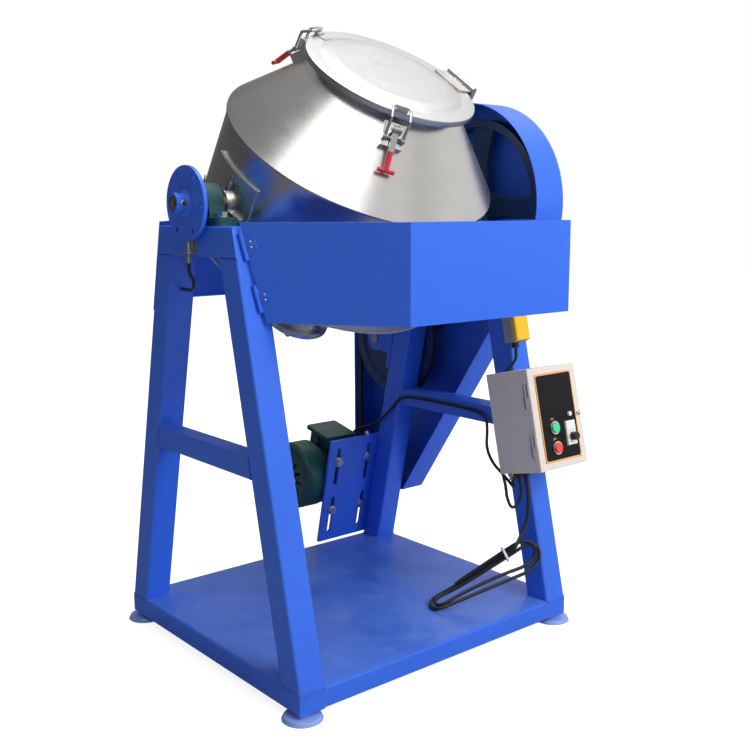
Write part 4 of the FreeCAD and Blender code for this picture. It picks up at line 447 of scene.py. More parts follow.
finishes = {
    "blue_paint": paint("royalBluePaint", (0.033, 0.148, 0.79), (0.041, 0.176, 0.86), (0.16, 0.30, 0.86),
                        rough=(0.32, 0.46), coat=0.15),
    "green_paint": paint("castingGreen", (0.008, 0.060, 0.060), (0.014, 0.085, 0.078), (0.08, 0.17, 0.15),
                         rough=(0.34, 0.5), coat=0.12, cast=True, dustAndSheen=0.16, dustAndSheenColour=(0.35, 0.42, 0.40),
                         wearAndHighlight=0.7),
    "grey_paint": paint("boxGrey", (0.74, 0.68, 0.62), (0.80, 0.745, 0.68), (0.78, 0.78, 0.76),
                        rough=(0.38, 0.5), coat=0.05, peel=0.22, dustAndSheen=0.06, dustAndSheenColour=(0.55, 0.54, 0.50),
                        wearAndHighlight=0.4),
    "stainless": metal("satinStainless", (0.74, 0.735, 0.72), (0.62, 0.60, 0.575), rough=(0.24, 0.36)),
    "bright_steel": metal("platedSteel", (0.72, 0.72, 0.73), (0.58, 0.57, 0.54), rough=(0.18, 0.34),
                          wearAndHighlight=0.4),
    "belt_rubber": moulded("beltRubber", (0.022, 0.022, 0.023), (0.035, 0.034, 0.033), rough=(0.6, 0.8),
                           bump=0.3, wearAndHighlight=0.3),
    "white_rubber": moulded("sealRubber", (0.80, 0.80, 0.76), (0.72, 0.71, 0.66), rough=(0.4, 0.6)),
    "red_grip": moulded("gripRed", (0.62, 0.022, 0.035), (0.70, 0.035, 0.05), rough=(0.28, 0.4), coat=0.3),
    "panel_black": moulded("panelBlack", (0.008, 0.008, 0.010), (0.014, 0.013, 0.015), rough=(0.3, 0.42),
                           bump=0.04, specular=0.15),
    "white_plastic": moulded("timerWhite", (0.82, 0.82, 0.80), (0.76, 0.76, 0.73), rough=(0.28, 0.4),
                             coat=0.3),
    "green_plastic": moulded("buttonGreen", (0.05, 0.62, 0.26), (0.06, 0.70, 0.32), rough=(0.2, 0.3),
                             coat=0.6),
    "red_plastic": moulded("buttonRed", (0.86, 0.045, 0.045), (0.92, 0.07, 0.06), rough=(0.2, 0.3),
                           coat=0.6),
    "black_plastic": moulded("knobBlack", (0.018, 0.018, 0.019), (0.03, 0.03, 0.03), rough=(0.32, 0.45)),
    "yellow_plastic": moulded("switchYellow", (0.86, 0.50, 0.012), (0.92, 0.58, 0.03), rough=(0.26, 0.4),
                              coat=0.35),
    "cable_black": moulded("cableSheath", (0.016, 0.016, 0.017), (0.028, 0.028, 0.028), rough=(0.34, 0.5),
                           bump=0.2, dustAndSheen=0.10),
}
drumTilt = (math.radians(drumAxis["tilt"]), 0.0, 0.0)
extra = {
    "drumShell": turnedMetal("drumSatin", (0.77, 0.765, 0.755), (0.66, 0.64, 0.62), (0.25, 0.32), drumPlace,
                             drumTilt),
    "lidTop": turnedMetal("lidSatin", (0.82, 0.82, 0.83), (0.74, 0.74, 0.74), (0.27, 0.34), drumPlace,
                          drumTilt),
    "chrome": metal("bezelChrome", (0.80, 0.80, 0.80), (0.72, 0.72, 0.72), rough=(0.08, 0.16), bump=0.02),
    "brass": metal("brassFitting", (0.72, 0.52, 0.22), (0.55, 0.40, 0.18), rough=(0.2, 0.35)),
    "switchGrey": moulded("switchGrey", (0.28, 0.29, 0.29), (0.33, 0.33, 0.32), rough=(0.38, 0.5)),
    "borderOrange": moulded("borderOrange", (0.95, 0.42, 0.07), (0.98, 0.50, 0.11), rough=(0.3, 0.4)),
    # feet: a lighter copy of the blue paint, painted light from above, with a lighter dust colour as a
    # painted sheen
    "footBlueTopLit": paint("footPaintTopLit", (0.24, 0.38, 0.80), (0.32, 0.46, 0.86), (0.55, 0.65, 0.88), dustAndSheen=0.35,
                      coat=0.2, dustAndSheenColour=(0.55, 0.65, 0.88)),
    # deck: a whiter blue and a lighter blue dust on the top face, a painted sheen of glancing reflection
    # together with real dust
    "deckBlueSheen": paint("deckPaintSheen", (0.046, 0.155, 0.70), (0.085, 0.21, 0.78), (0.20, 0.34, 0.86),
                      rough=(0.28, 0.42), coat=0.25, drift=0.8, dustAndSheen=0.40, dustAndSheenColour=(0.22, 0.34, 0.80)),
    "pulleyBlue": paint("pulleyPaint", (0.016, 0.050, 0.135), (0.022, 0.066, 0.17), (0.10, 0.16, 0.26),
                        rough=(0.38, 0.5), coat=0.1, cast=True, dustAndSheen=0.08),
    "shaftBrown": turnedMetal("oiledShaft", (0.52, 0.44, 0.36), (0.34, 0.24, 0.16), (0.26, 0.42),
                              (0.0, drumPlace.y, drumPlace.z), (0.0, math.radians(90.0), 0.0), bump=0.12),
    "lampClear": moulded("lampClear", (0.78, 0.76, 0.70), (0.84, 0.82, 0.78), rough=(0.1, 0.2), coat=0.8),
    "nutBlack": moulded("glandBlack", (0.02, 0.02, 0.021), (0.03, 0.03, 0.03), rough=(0.4, 0.55)),
    "tieWhite": moulded("tieWhite", (0.85, 0.85, 0.84), (0.8, 0.8, 0.78), rough=(0.3, 0.45)),
    "weldBlue": paint("weldPaint", (0.036, 0.12, 0.62), (0.046, 0.15, 0.72), (0.14, 0.27, 0.8), cast=True,
                      wearAndHighlight=0.2, dustAndSheen=0.05),
}
print("finishes made:", len(finishes) + len(extra))
for cable in cables:
    cable.data.materials.append(finishes["cable_black"])


# pieces
def newPiece(name, mesh, material, body, slotName, replaced=()):
    obj = bpy.data.objects.new(name, mesh)
    scene.collection.objects.link(obj)
    mesh.materials.append(material)
    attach(obj, body)
    if replaced:
        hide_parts(*replaced)
    return obj


def smoothShade(mesh, angle):
    mesh.polygons.foreach_set("use_smooth", [True] * len(mesh.polygons))
    mesh.set_sharp_from_angle(angle=math.radians(angle))


def meshFrom(name, bm, angle=None):
    mesh = bpy.data.meshes.new(name)
    bm.to_mesh(mesh)
    bm.free()
    if angle:
        smoothShade(mesh, angle)
    return mesh


def meshOfCurve(name, curve):
    helper = bpy.data.objects.new(name, curve)
    scene.collection.objects.link(helper)
    bpy.context.view_layer.update()
    graph = bpy.context.evaluated_depsgraph_get()
    mesh = bpy.data.meshes.new_from_object(helper.evaluated_get(graph))
    bpy.data.objects.remove(helper)
    mesh.name = name
    mesh.materials.clear()
    return mesh


def meshOfNode(name):  # a node's own mesh with its doubled points joined
    bm = bmesh.new()
    bm.from_mesh(nodes[name].data)
    bmesh.ops.remove_doubles(bm, verts=bm.verts, dist=1e-5)
    return bm


def islands(bm):  # the loose parts of a mesh, each as a list of its points
    bm.verts.index_update()
    bm.verts.ensure_lookup_table()
    seen = set()
    for vert in bm.verts:
        if vert.index in seen:
            continue
        stack, found = [vert], []
        seen.add(vert.index)
        while stack:
            corner = stack.pop()
            found.append(corner)
            for edge in corner.link_edges:
                other = edge.other_vert(corner)
                if other.index not in seen:
                    seen.add(other.index)
                    stack.append(other)
        yield found


# the CAD nodes dressed with rounded edges
dressSpec = {"sharp": 38, "shortest": 2.2, "flat": 0.6, "round": 0.7, "smooth": 32}
# the feet take the lighter top-lit copy of the blue paint, which is painted light
special = {
    "feet": "footBlueTopLit", "drum_pulley": "pulleyBlue", "jack_pulleys": "pulleyBlue",
    "motor_pulley": "pulleyBlue", "drum_shafts": "shaftBrown",
}


def isSharp(edge, width):
    if len(edge.link_faces) != 2:
        return False
    bent = edge.calc_face_angle(0) > math.radians(dressSpec["sharp"])
    return bent and edge.calc_length() > width * dressSpec["shortest"]


def dress(name, width, segments=2, paintBy=None):
    bm = meshOfNode(name)
    bmesh.ops.dissolve_limit(bm, angle_limit=math.radians(dressSpec["flat"]), verts=bm.verts, edges=bm.edges,
                             use_dissolve_boundaries=False)
    if width:
        sharpEdges = []
        for verts in list(islands(bm)):
            sharpEdges += list({e for v in verts for e in v.link_edges if isSharp(e, width)})
        bmesh.ops.bevel(bm, geom=sharpEdges, offset=width, offset_type="OFFSET", segments=segments,
                        profile=dressSpec["round"], affect="EDGES", clamp_overlap=False, loop_slide=True)
        bmesh.ops.remove_doubles(bm, verts=bm.verts, dist=2e-6)
    bmesh.ops.recalc_face_normals(bm, faces=bm.faces)
    mesh = meshFrom(name + "Piece", bm, dressSpec["smooth"])
    material = extra[special[name]] if name in special else finishes[slotOf[name]]
    obj = newPiece(name + "Piece", mesh, material, bodyOf[name], slotOf[name], (name,))
    if paintBy:
        paintBy(mesh)
    weighted = obj.modifiers.new("weighted", "WEIGHTED_NORMAL")
    weighted.keep_sharp = True
    return obj


def paintFaces(mesh, material, test):  # the test is given a face's centre in the front leg's frame
    mesh.materials.append(material)
    index = len(mesh.materials) - 1
    for face in mesh.polygons:
        if test(frontLocal(face.center)):
            face.material_index = index


faceLimits = {"boxFloor": 308.0, "boxHinge": 225.6, "switchCover": -30.05, "switchGland": 593.8,
              "bezel": 301.0, "lamp": 414.0}


def paintBoxDoor(mesh):  # the hinges stand past the box's side
    paintFaces(mesh, finishes["bright_steel"], lambda p: p.x < faceLimits["boxHinge"])


def paintBox(mesh):  # black glands below, then the hinges
    paintFaces(mesh, extra["nutBlack"], lambda p: p.z < faceLimits["boxFloor"])
    paintBoxDoor(mesh)


def paintSwitch(mesh):
    paintFaces(mesh, extra["switchGrey"], lambda p: p.y > faceLimits["switchCover"])
    paintFaces(mesh, extra["nutBlack"], lambda p: p.z < faceLimits["switchGland"])


def paintFittings(mesh):
    paintFaces(mesh, extra["chrome"], lambda p: p.x < faceLimits["bezel"])
    paintFaces(mesh, extra["lampClear"], lambda p: p.z > faceLimits["lamp"])


def paintHandle(mesh):  # the grip is the island that reaches furthest from the drum's own axis
    bm = bmesh.new()
    bm.from_mesh(mesh)
    far = max(islands(bm), key=lambda verts: max((drumInverse @ v.co).xy.length for v in verts))
    gripVerts = {v.index for v in far}
    bm.free()
    mesh.materials.clear()
    mesh.materials.append(finishes["bright_steel"])
    mesh.materials.append(finishes["red_grip"])
    for face in mesh.polygons:
        face.material_index = 1 if face.vertices[0] in gripVerts else 0


edgeWidths = {  # millimetres of rounding on each node's edges
    "base_rails": 1.2, "feet": 1.2, "left_legs": 1.0, "right_legs": 1.0, "top_beams": 1.0,
    "cross_tubes": 1.5, "bearing_housings": 1.5, "bearing_inserts": 0.6, "bearing_bolts": 0.6,
    "belt_guard": 0.8, "rear_guard": 0.6, "belt_guard_tabs": 0.6, "guard_fasteners": 0.4,
    "motor_plate": 1.0, "motor_fasteners": 0.6, "motor_frame": 0.8, "motor_fan_cover": 0.6,
    "motor_terminal_box": 0.8, "jack_housing": 1.0, "motor_belt": 0.0, "drum_belts": 0.0,
    "control_box": 0.8, "interlock_switch": 2.5, "speed_sensor": 0.5, "sensor_bracket": 0.5,
    "guard_hinge_frame": 0.4, "trunnions": 0.8, "drum_shafts": 0.8, "bearing_inner_rings": 0.6,
    "index_disc": 0.8, "drum_pulley": 0.8, "latch_brackets": 0.6, "outlet_cap": 0.8,
    "lid_hinge_base": 0.6, "lid_hinge_leaf": 0.5, "lid_seal": 0.4, "latch_keepers": 0.4,
    "front_latch_handle": 0.5, "front_latch_bail": 0.3, "rear_latch_handle": 0.5, "rear_latch_bail": 0.3,
    "jack_shaft": 0.6, "jack_pulleys": 0.6, "motor_shaft": 0.6, "motor_pulley": 0.6, "guard_door": 0.8,
    "guard_hinge_door": 0.4, "control_box_door": 0.6, "control_panel": 0.2, "panel_fittings": 0.4,
    "start_button": 0.0, "stop_button": 0.0, "timer_knob": 0.0,
}
dressMore = {
    "control_box": {"paintBy": paintBox}, "control_box_door": {"paintBy": paintBoxDoor},
    "interlock_switch": {"segments": 3, "paintBy": paintSwitch},
    "panel_fittings": {"paintBy": paintFittings},
    "front_latch_handle": {"paintBy": paintHandle}, "rear_latch_handle": {"paintBy": paintHandle},
}
for name, width in edgeWidths.items():
    dress(name, width / 1000, **dressMore.get(name, {}))


deckSpec = {"inset": 0.005, "top": 0.0569, "low": 0.0545, "corner": 0.004, "rim": 0.0006}


def makeDeck(d):  # the sheet lies over the rails and its edge shows as a thin line
    low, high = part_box("base_rails")
    x0, y0 = low[0] + d["inset"], low[1] + d["inset"]
    x1, y1 = high[0] - d["inset"], high[1] - d["inset"]
    bm = bmesh.new()
    corners = [(x0, y0), (x1, y0), (x1, y1), (x0, y1)]
    bottom = [bm.verts.new((x, y, d["low"])) for x, y in corners]
    top = [bm.verts.new((x, y, d["top"])) for x, y in corners]
    bm.faces.new(top)
    bm.faces.new(list(reversed(bottom)))
    for k in range(4):
        bm.faces.new((bottom[k], bottom[(k + 1) % 4], top[(k + 1) % 4], top[k]))
    upright = [e for e in bm.edges if abs(e.verts[0].co.z - e.verts[1].co.z) > 0.001]
    bmesh.ops.bevel(bm, geom=upright, offset=d["corner"], segments=4, profile=0.5, affect="EDGES")
    rim = [e for e in bm.edges if all(v.co.z > d["top"] - 1e-5 for v in e.verts)]
    bmesh.ops.bevel(bm, geom=rim, offset=d["rim"], segments=2, profile=0.6, affect="EDGES")
    mesh = meshFrom("deckSheet", bm, dressSpec["smooth"])
    # the deck's finish carries a painted sheen on its top face
    newPiece("deckSheet", mesh, extra["deckBlueSheen"], "frame", "blue_paint", ("deck_plate",))


makeDeck(deckSpec)
print("CAD nodes dressed:", len(edgeWidths))


# drum and lid turned with fine rings
def roundedProfile(points, radius, steps=4):  # a closed outline of (radius, height) gets soft corners
    out = []
    count = len(points)
    for i in range(count):
        a, b, c = (Vector(points[(i + k) % count]) for k in (-1, 0, 1))
        before, after = a - b, c - b
        reach = min(radius, before.length * 0.4, after.length * 0.4)
        if b.x < 1e-6 or reach < 1e-6:
            out.append(tuple(b))
            continue
        p, q = b + before.normalized() * reach, b + after.normalized() * reach
        for k in range(steps + 1):
            t = k / steps
            out.append(tuple((1 - t) ** 2 * p + 2 * t * (1 - t) * b + t * t * q))
    return out


def lathe(name, profile, material, body, replaced, segments, keep=None):
    verts, faces, ring = [], [], []
    for r, z in profile:
        if r < 1e-6:
            ring.append([len(verts)])
            verts.append((0, 0, z))
        else:
            ring.append(list(range(len(verts), len(verts) + segments)))
            angles = [2 * math.pi * k / segments for k in range(segments)]
            verts += [(r * math.cos(angle), r * math.sin(angle), z) for angle in angles]
    count = len(profile)
    for i in range(count):
        a, b = ring[i], ring[(i + 1) % count]
        if len(a) == 1 and len(b) == 1:
            continue
        for k in range(segments):
            n = (k + 1) % segments
            if len(a) == 1:
                face = (a[0], b[n], b[k])
            elif len(b) == 1:
                face = (a[k], a[n], b[0])
            else:
                face = (a[k], a[n], b[n], b[k])
            if keep is None or keep(sum((Vector(verts[v]) for v in face), Vector()) / len(face)):
                faces.append(face)
    mesh = bpy.data.meshes.new(name)
    mesh.from_pydata(verts, [], faces)
    bm = bmesh.new()
    bm.from_mesh(mesh)
    bmesh.ops.recalc_face_normals(bm, faces=bm.faces)
    bm.to_mesh(mesh)
    bm.free()
    smoothShade(mesh, 40)
    mesh.transform(drumMatrix)
    newPiece(name, mesh, material, body, "stainless", (replaced,))


drumSpec = {
    "radius": 0.288, "sheet": 0.003, "low": -0.126, "high": 0.138, "mouth": 0.142, "mouthHeight": 0.298,
    "flange": 0.174, "flangeThick": 0.005, "neck": 0.062, "neckTop": -0.284, "neckFace": -0.303,
    "neckFlange": 0.079, "neckFlangeThick": 0.008, "lip": 0.0035, "lipHeight": 0.005, "corner": 0.0012,
    "segments": 224,
}


def drumProfile(d):
    t = d["sheet"]
    flangeLow = d["mouthHeight"] - d["flangeThick"]
    foot = d["neckFace"] - d["neckFlangeThick"]
    lipLow = d["high"] - d["lipHeight"]
    outside = [
        (d["neckFlange"], foot), (d["neckFlange"], d["neckFace"]), (d["neck"], d["neckFace"]),
        (d["neck"], d["neckTop"]), (d["radius"], d["low"]), (d["radius"], lipLow),
        (d["radius"] + d["lip"], lipLow), (d["radius"] + d["lip"], d["high"]), (d["mouth"], flangeLow),
        (d["flange"], flangeLow), (d["flange"], d["mouthHeight"])]
    inside = [
        (d["mouth"] - t, d["mouthHeight"]), (d["mouth"] - t, flangeLow - t / 2),
        (d["radius"] - t, d["high"] - t / 2), (d["radius"] - t, d["low"] + 0.0007),
        (d["neck"] - t, d["neckTop"] + 0.0007), (d["neck"] - t, foot)]
    return outside + inside


drumOutline = roundedProfile(drumProfile(drumSpec), drumSpec["corner"])
lathe("drumBody", drumOutline, extra["drumShell"], "drum", "drum_shell", drumSpec["segments"])

lidSpec = {
    "radius": 0.181, "sheet": 0.003, "skirt": 0.012, "dish": 0.148, "rise": 0.006, "under": 0.301,
    "notch": 0.055, "corner": 0.0024, "segments": 192,
}


def lidProfile(d):
    t, low, high = d["sheet"], d["under"], d["under"] + d["sheet"]
    skirtLow = high - d["skirt"]
    shoulder = (d["dish"] - 0.030, d["rise"] * 0.85)
    return [
        (0.0, low + d["rise"]), (shoulder[0], low + shoulder[1]), (d["dish"], low), (d["radius"] - t, low),
        (d["radius"] - t, skirtLow), (d["radius"], skirtLow), (d["radius"], high), (d["dish"] + 0.004, high),
        (d["dish"] - 0.010, high + d["rise"] * 0.55), (shoulder[0], high + shoulder[1]),
        (0.0, high + d["rise"])]


def offTheHinge(p):  # the skirt is cut away beside the lid's hinge
    return not (p.x > 0 and abs(p.y) < lidSpec["notch"] and p.z < lidSpec["under"] - 0.0001)


lidOutline = roundedProfile(lidProfile(lidSpec), lidSpec["corner"], 6)
lathe("lidBody", lidOutline, extra["lidTop"], "lid", "lid", lidSpec["segments"], keep=offTheHinge)
print("drum and lid turned")


# weld beads
beadSpec = {"ripple": 0.28, "wander": 0.25, "grain": 60, "pitch": 0.004, "seamPitch": 0.01}


def bead(name, points, radius, material, body, slotName, closed=False, pitch=beadSpec["pitch"],
         onDrum=False):
    curve = bpy.data.curves.new(name + "Path", "CURVE")
    curve.dimensions = "3D"
    path = [Vector(point) for point in points]
    if closed:
        path.append(path[0])
    samples = []
    for start, end in zip(path, path[1:]):
        steps = max(1, int((end - start).length / (pitch / 2)))
        samples += [start.lerp(end, k / steps) for k in range(steps)]
    if not closed:
        samples.append(path[-1])
    spline = curve.splines.new("POLY")
    spline.points.add(len(samples) - 1)
    for i, (point, place) in enumerate(zip(spline.points, samples)):
        point.co = (*place, 1)
        swell = 0.5 if i % 2 else -0.5
        uneven = beadSpec["wander"] * noise.noise(place * beadSpec["grain"])
        point.radius = 1 + beadSpec["ripple"] * swell + uneven
    spline.use_cyclic_u = closed
    curve.bevel_depth = radius
    curve.bevel_resolution = 2
    curve.use_fill_caps = True
    mesh = meshOfCurve(name, curve)
    mesh.polygons.foreach_set("use_smooth", [True] * len(mesh.polygons))
    if onDrum:
        mesh.transform(drumMatrix)
    newPiece(name, mesh, material, body, slotName)


frameWelds = {"foot": 0.0022, "cross": 0.002, "tube": 60, "round": 4, "edge": 3, "top": 480}
crossTubes = {"Left": {"ends": (-375, -335), "height": 45}, "Right": {"ends": (315, 375), "height": 40}}


def footRing(x, sign):  # round the foot of one leg, with its corners cut
    d, z = frameWelds, legSpec["foot"]
    wide, out = d["tube"], sign * legOut(z)
    inner = sign * (legOut(z) - legThick)
    near, far = out - sign * d["round"], inner + sign * d["round"]
    corners = [
        (x + d["edge"], out), (x + wide - d["edge"], out), (x + wide, near), (x + wide, far),
        (x + wide - d["edge"], inner), (x + d["edge"], inner), (x, far), (x, near)]
    return [rowPoint(*corner, z) for corner in corners]


def crossLine(spec, sign):  # up one end of a tie and along its top
    top, low = frameWelds["top"], frameWelds["top"] - spec["height"]
    topAt, lowAt = (sign * (legOut(z) - legThick) for z in (top, low))
    start, end = spec["ends"]
    return [rowPoint(start, lowAt, low), rowPoint(start, topAt, top), rowPoint(end, topAt, top)]


legThick = legSpec["depth"] * math.hypot(1, (legSpec["footOut"] - legSpec["topOut"]) / legSpec["rise"])
frontAndRear = (("Front", -1), ("Rear", 1))
for side, x in (("Left", -375), ("Right", 315)):
    for face, sign in frontAndRear:
        bead("weldFoot" + side + face, footRing(x, sign), frameWelds["foot"], extra["weldBlue"], "frame",
             "blue_paint", closed=True)
for side, spec in crossTubes.items():
    for face, sign in frontAndRear:
        bead("weldCross" + side + face, crossLine(spec, sign), frameWelds["cross"], extra["weldBlue"],
             "frame", "blue_paint")


def onDrumSide(turn, radius, height):  # a point at an angle round the drum's own axis
    return (radius * math.cos(turn), radius * math.sin(turn), height)


seamSpec = {"count": 180, "ring": (0.2885, -0.126), "ringRadius": 0.0012, "radius": 0.0010}
ringSeam = [
    onDrumSide(2 * math.pi * k / seamSpec["count"], *seamSpec["ring"]) for k in range(seamSpec["count"])]
bead("weldLowerSeam", ringSeam, seamSpec["ringRadius"], extra["drumShell"], "drum", "stainless", closed=True,
     pitch=beadSpec["seamPitch"], onDrum=True)
sheetSeams = {  # the angle of each sheet's joint and its two ends as radius and height
    "weldConeSeam": (70, ((0.2890, 0.1385), (0.1440, 0.2920))),
    "weldBandSeam": (-160, ((0.2882, -0.125), (0.2882, 0.134))),
}
for name, (degrees, ends) in sheetSeams.items():
    seam = [onDrumSide(math.radians(degrees), *end) for end in ends]
    bead(name, seam, seamSpec["radius"], extra["drumShell"], "drum", "stainless", onDrum=True)
print("weld beads laid")


# small fittings
def discMesh(bm, centre, direction, radius, height, dome, segments=28):  # a low button with a soft rim
    turnTo = Vector(direction).normalized().to_track_quat("Z", "Y").to_matrix().to_4x4()
    place = Matrix.Translation(Vector(centre)) @ turnTo
    rings = [
        (radius, 0.0), (radius, height * 0.7), (radius * 0.93, height * 0.93),
        (radius * 0.7, height + dome * 0.6), (radius * 0.3, height + dome)]
    angles = [2 * math.pi * k / segments for k in range(segments)]
    loops = []
    for r, z in rings:
        loops.append([bm.verts.new(place @ Vector((r * math.cos(a), r * math.sin(a), z))) for a in angles])
    for low, high in zip(loops, loops[1:]):
        for k in range(segments):
            n = (k + 1) % segments
            bm.faces.new((low[k], low[n], high[n], high[k]))
    bm.faces.new(loops[-1])
    bm.faces.new(list(reversed(loops[0])))


def buttons(name, places, radius, height, material, body, slotName, dome=0.0006):
    bm = bmesh.new()
    for centre, direction in places:
        discMesh(bm, centre, direction, radius, height, dome)
    newPiece(name, meshFrom(name, bm, 50), material, body, slotName)


doorFace = -108 - 0.5 - 12  # the box's depth, the door's gap and the door
panelY = doorFace - 1.0
frontOut = frontPoint(0, -1, 0) - frontPoint(0, 0, 0)
frontUp = frontPoint(0, 0, 1) - frontPoint(0, 0, 0)
borderSpec = {
    "inset": 0.4, "wide": 2.6, "left": 244.5, "right": 363.5, "low": 325.0, "high": 516.0, "thick": 0.25,
}


def makeBorder(d):  # four flat strips round the panel
    left, right = d["left"] + d["inset"], d["right"] - d["inset"]
    low, high, wide = d["low"] + d["inset"], d["high"] - d["inset"], d["wide"]
    strips = [
        (left, right, low, low + wide), (left, right, high - wide, high),
        (left, left + wide, low + wide, high - wide), (right - wide, right, low + wide, high - wide)]
    bm = bmesh.new()
    for x0, x1, z0, z1 in strips:
        corners = ((x0, z0), (x1, z0), (x1, z1), (x0, z1))
        bm.faces.new([bm.verts.new(frontPoint(x, panelY, z)) for x, z in corners])
    result = bmesh.ops.extrude_face_region(bm, geom=list(bm.faces))
    for part in result["geom"]:
        if isinstance(part, bmesh.types.BMVert):
            part.co += frontOut * d["thick"]
    bmesh.ops.recalc_face_normals(bm, faces=bm.faces)
    newPiece("panelBorder", meshFrom("panelBorder", bm), extra["borderOrange"], "control_door",
             "yellow_plastic")


makeBorder(borderSpec)
timerSpec = {
    "x": 334.0, "z": 372.5, "face": panelY - 6.0, "inner": 10.6, "outer": 13.2, "ticks": 13, "start": -150,
    "sweep": 300, "across": 0.22, "short": 0.55, "lift": 0.08,
    "numbers": ("0", "2", "4", "6", "8", "10"), "numberReach": (13.072, 15.6), "numberSize": 3.4,
}
wordSpec = {"ON": 417.0, "OFF": 373.0}
wordPlace = {"x": 282.0, "size": 6.4, "lift": 0.1, "thick": 0.00008}


def makeTicks(d):  # the dial's marks, every third one long
    bm = bmesh.new()
    for i in range(d["ticks"]):
        turn = math.radians(d["start"] + d["sweep"] * i / (d["ticks"] - 1))
        inner = d["outer"] - (d["outer"] - d["inner"]) * (1.0 if i % 3 == 0 else d["short"])
        corners = []
        for reach, across in ((inner, -1), (inner, 1), (d["outer"], 1), (d["outer"], -1)):
            x = d["x"] + reach * math.sin(turn) + across * d["across"] * math.cos(turn)
            z = d["z"] + reach * math.cos(turn) - across * d["across"] * math.sin(turn)
            corners.append(bm.verts.new(frontPoint(x, d["face"] - d["lift"], z)))
        bm.faces.new(corners)
    newPiece("timerTicks", meshFrom("timerTicks", bm), finishes["black_plastic"], "control_door",
             "black_plastic")


def numeral(name, text, size, place, material, slotName):
    curve = bpy.data.curves.new(name, "FONT")
    curve.body = text
    curve.size = size / 1000
    curve.align_x, curve.align_y = "CENTER", "CENTER"
    curve.extrude = wordPlace["thick"]
    mesh = meshOfCurve(name, curve)
    columns = [Vector((1, 0, 0)), frontUp.normalized(), frontOut.normalized()]
    mesh.transform(Matrix.Translation(frontPoint(*place)) @ Matrix(columns).transposed().to_4x4())
    newPiece(name, mesh, material, "control_door", slotName)


def makeWords(d):
    step = d["sweep"] / (len(d["numbers"]) - 1)
    for i, text in enumerate(d["numbers"]):
        turn = math.radians(d["start"] + step * i)
        reachX, reachZ = d["numberReach"]
        place = (d["x"] + reachX * math.sin(turn), d["face"] - wordPlace["lift"],
                 d["z"] + reachZ * math.cos(turn))
        numeral("dialNumber" + text, text, d["numberSize"], place, finishes["black_plastic"],
                "black_plastic")
    for text, z in wordSpec.items():
        place = (wordPlace["x"], panelY - wordPlace["lift"], z)
        numeral("word" + text.capitalize(), text, wordPlace["size"], place, extra["borderOrange"],
                "yellow_plastic")


makeTicks(timerSpec)
makeWords(timerSpec)
screwSpec = {"x": (248.8, 359.2), "z": (329.3, 511.7), "radius": 0.0018, "height": 0.0008}
latchSpec = {"place": (371.0, doorFace, 420.0), "radius": 0.0062, "height": 0.0035}
panelScrews = [(frontPoint(x, panelY, z), frontOut) for x in screwSpec["x"] for z in screwSpec["z"]]
buttons("panelScrews", panelScrews, screwSpec["radius"], screwSpec["height"], finishes["bright_steel"],
        "control_door", "bright_steel")
buttons("boxLatch", [(frontPoint(*latchSpec["place"]), frontOut)], latchSpec["radius"], latchSpec["height"],
        extra["chrome"], "control_door", "bright_steel")
hingeSpec = {
    "leaves": {"guard_hinge_frame": ("hingeScrewsFrame", "frame"),
               "guard_hinge_door": ("hingeScrewsDoor", "guard_door")},
    "up": (0, 0.219, 0.976), "facing": -0.2, "smallest": 2e-4, "apart": 0.27, "single": 0.016,
    "radius": 0.0026, "height": 0.0012,
}


def frontFace(verts):  # the largest flat side of a leaf that faces the front
    sides = {}
    for face in {f for v in verts for f in v.link_faces}:
        sides.setdefault(tuple(round(c, 2) for c in face.normal), []).append(face)
    facing = [faces for faces in sides.values() if faces[0].normal.y < hingeSpec["facing"]]
    return max(facing, key=lambda faces: sum(f.calc_area() for f in faces), default=[])


def leafScrews(verts):  # two screws on a long leaf and one on a knuckle
    found = frontFace(verts)
    if sum(f.calc_area() for f in found) < hingeSpec["smallest"]:
        return []
    normal = found[0].normal.copy()
    points = [v.co for f in found for v in f.verts]
    centre = sum(points, Vector()) / len(points)
    up = Vector(hingeSpec["up"])
    up = (up - normal * up.dot(normal)).normalized()
    span = max(p.dot(up) for p in points) - min(p.dot(up) for p in points)
    shares = (-hingeSpec["apart"], hingeSpec["apart"]) if span > hingeSpec["single"] else (0.0,)
    return [(centre + up * (share * span), normal) for share in shares]


for nodeName, (pieceName, body) in hingeSpec["leaves"].items():
    hingeMesh = meshOfNode(nodeName)
    screws = [screw for verts in islands(hingeMesh) for screw in leafScrews(verts)]
    hingeMesh.free()
    if screws:
        buttons(pieceName, screws, hingeSpec["radius"], hingeSpec["height"], finishes["bright_steel"], body,
                "bright_steel")

hubSpec = {
    "x": -0.4200, "radius": 0.0205, "height": 0.9489, "depth": -0.0296, "face": -0.4328, "sink": 0.0006,
}
screwSizes = {"head": (0.0056, 0.0014), "socket": (0.0030, 0.0007), "up": 0.0010, "bore": (0.0085, 0.0005)}


def hubFitting(name, centre, direction, size, material, slotName):  # on the hub at the shaft's left end
    buttons(name, [(centre, direction)], *size, material, "drum", slotName, 0.0)


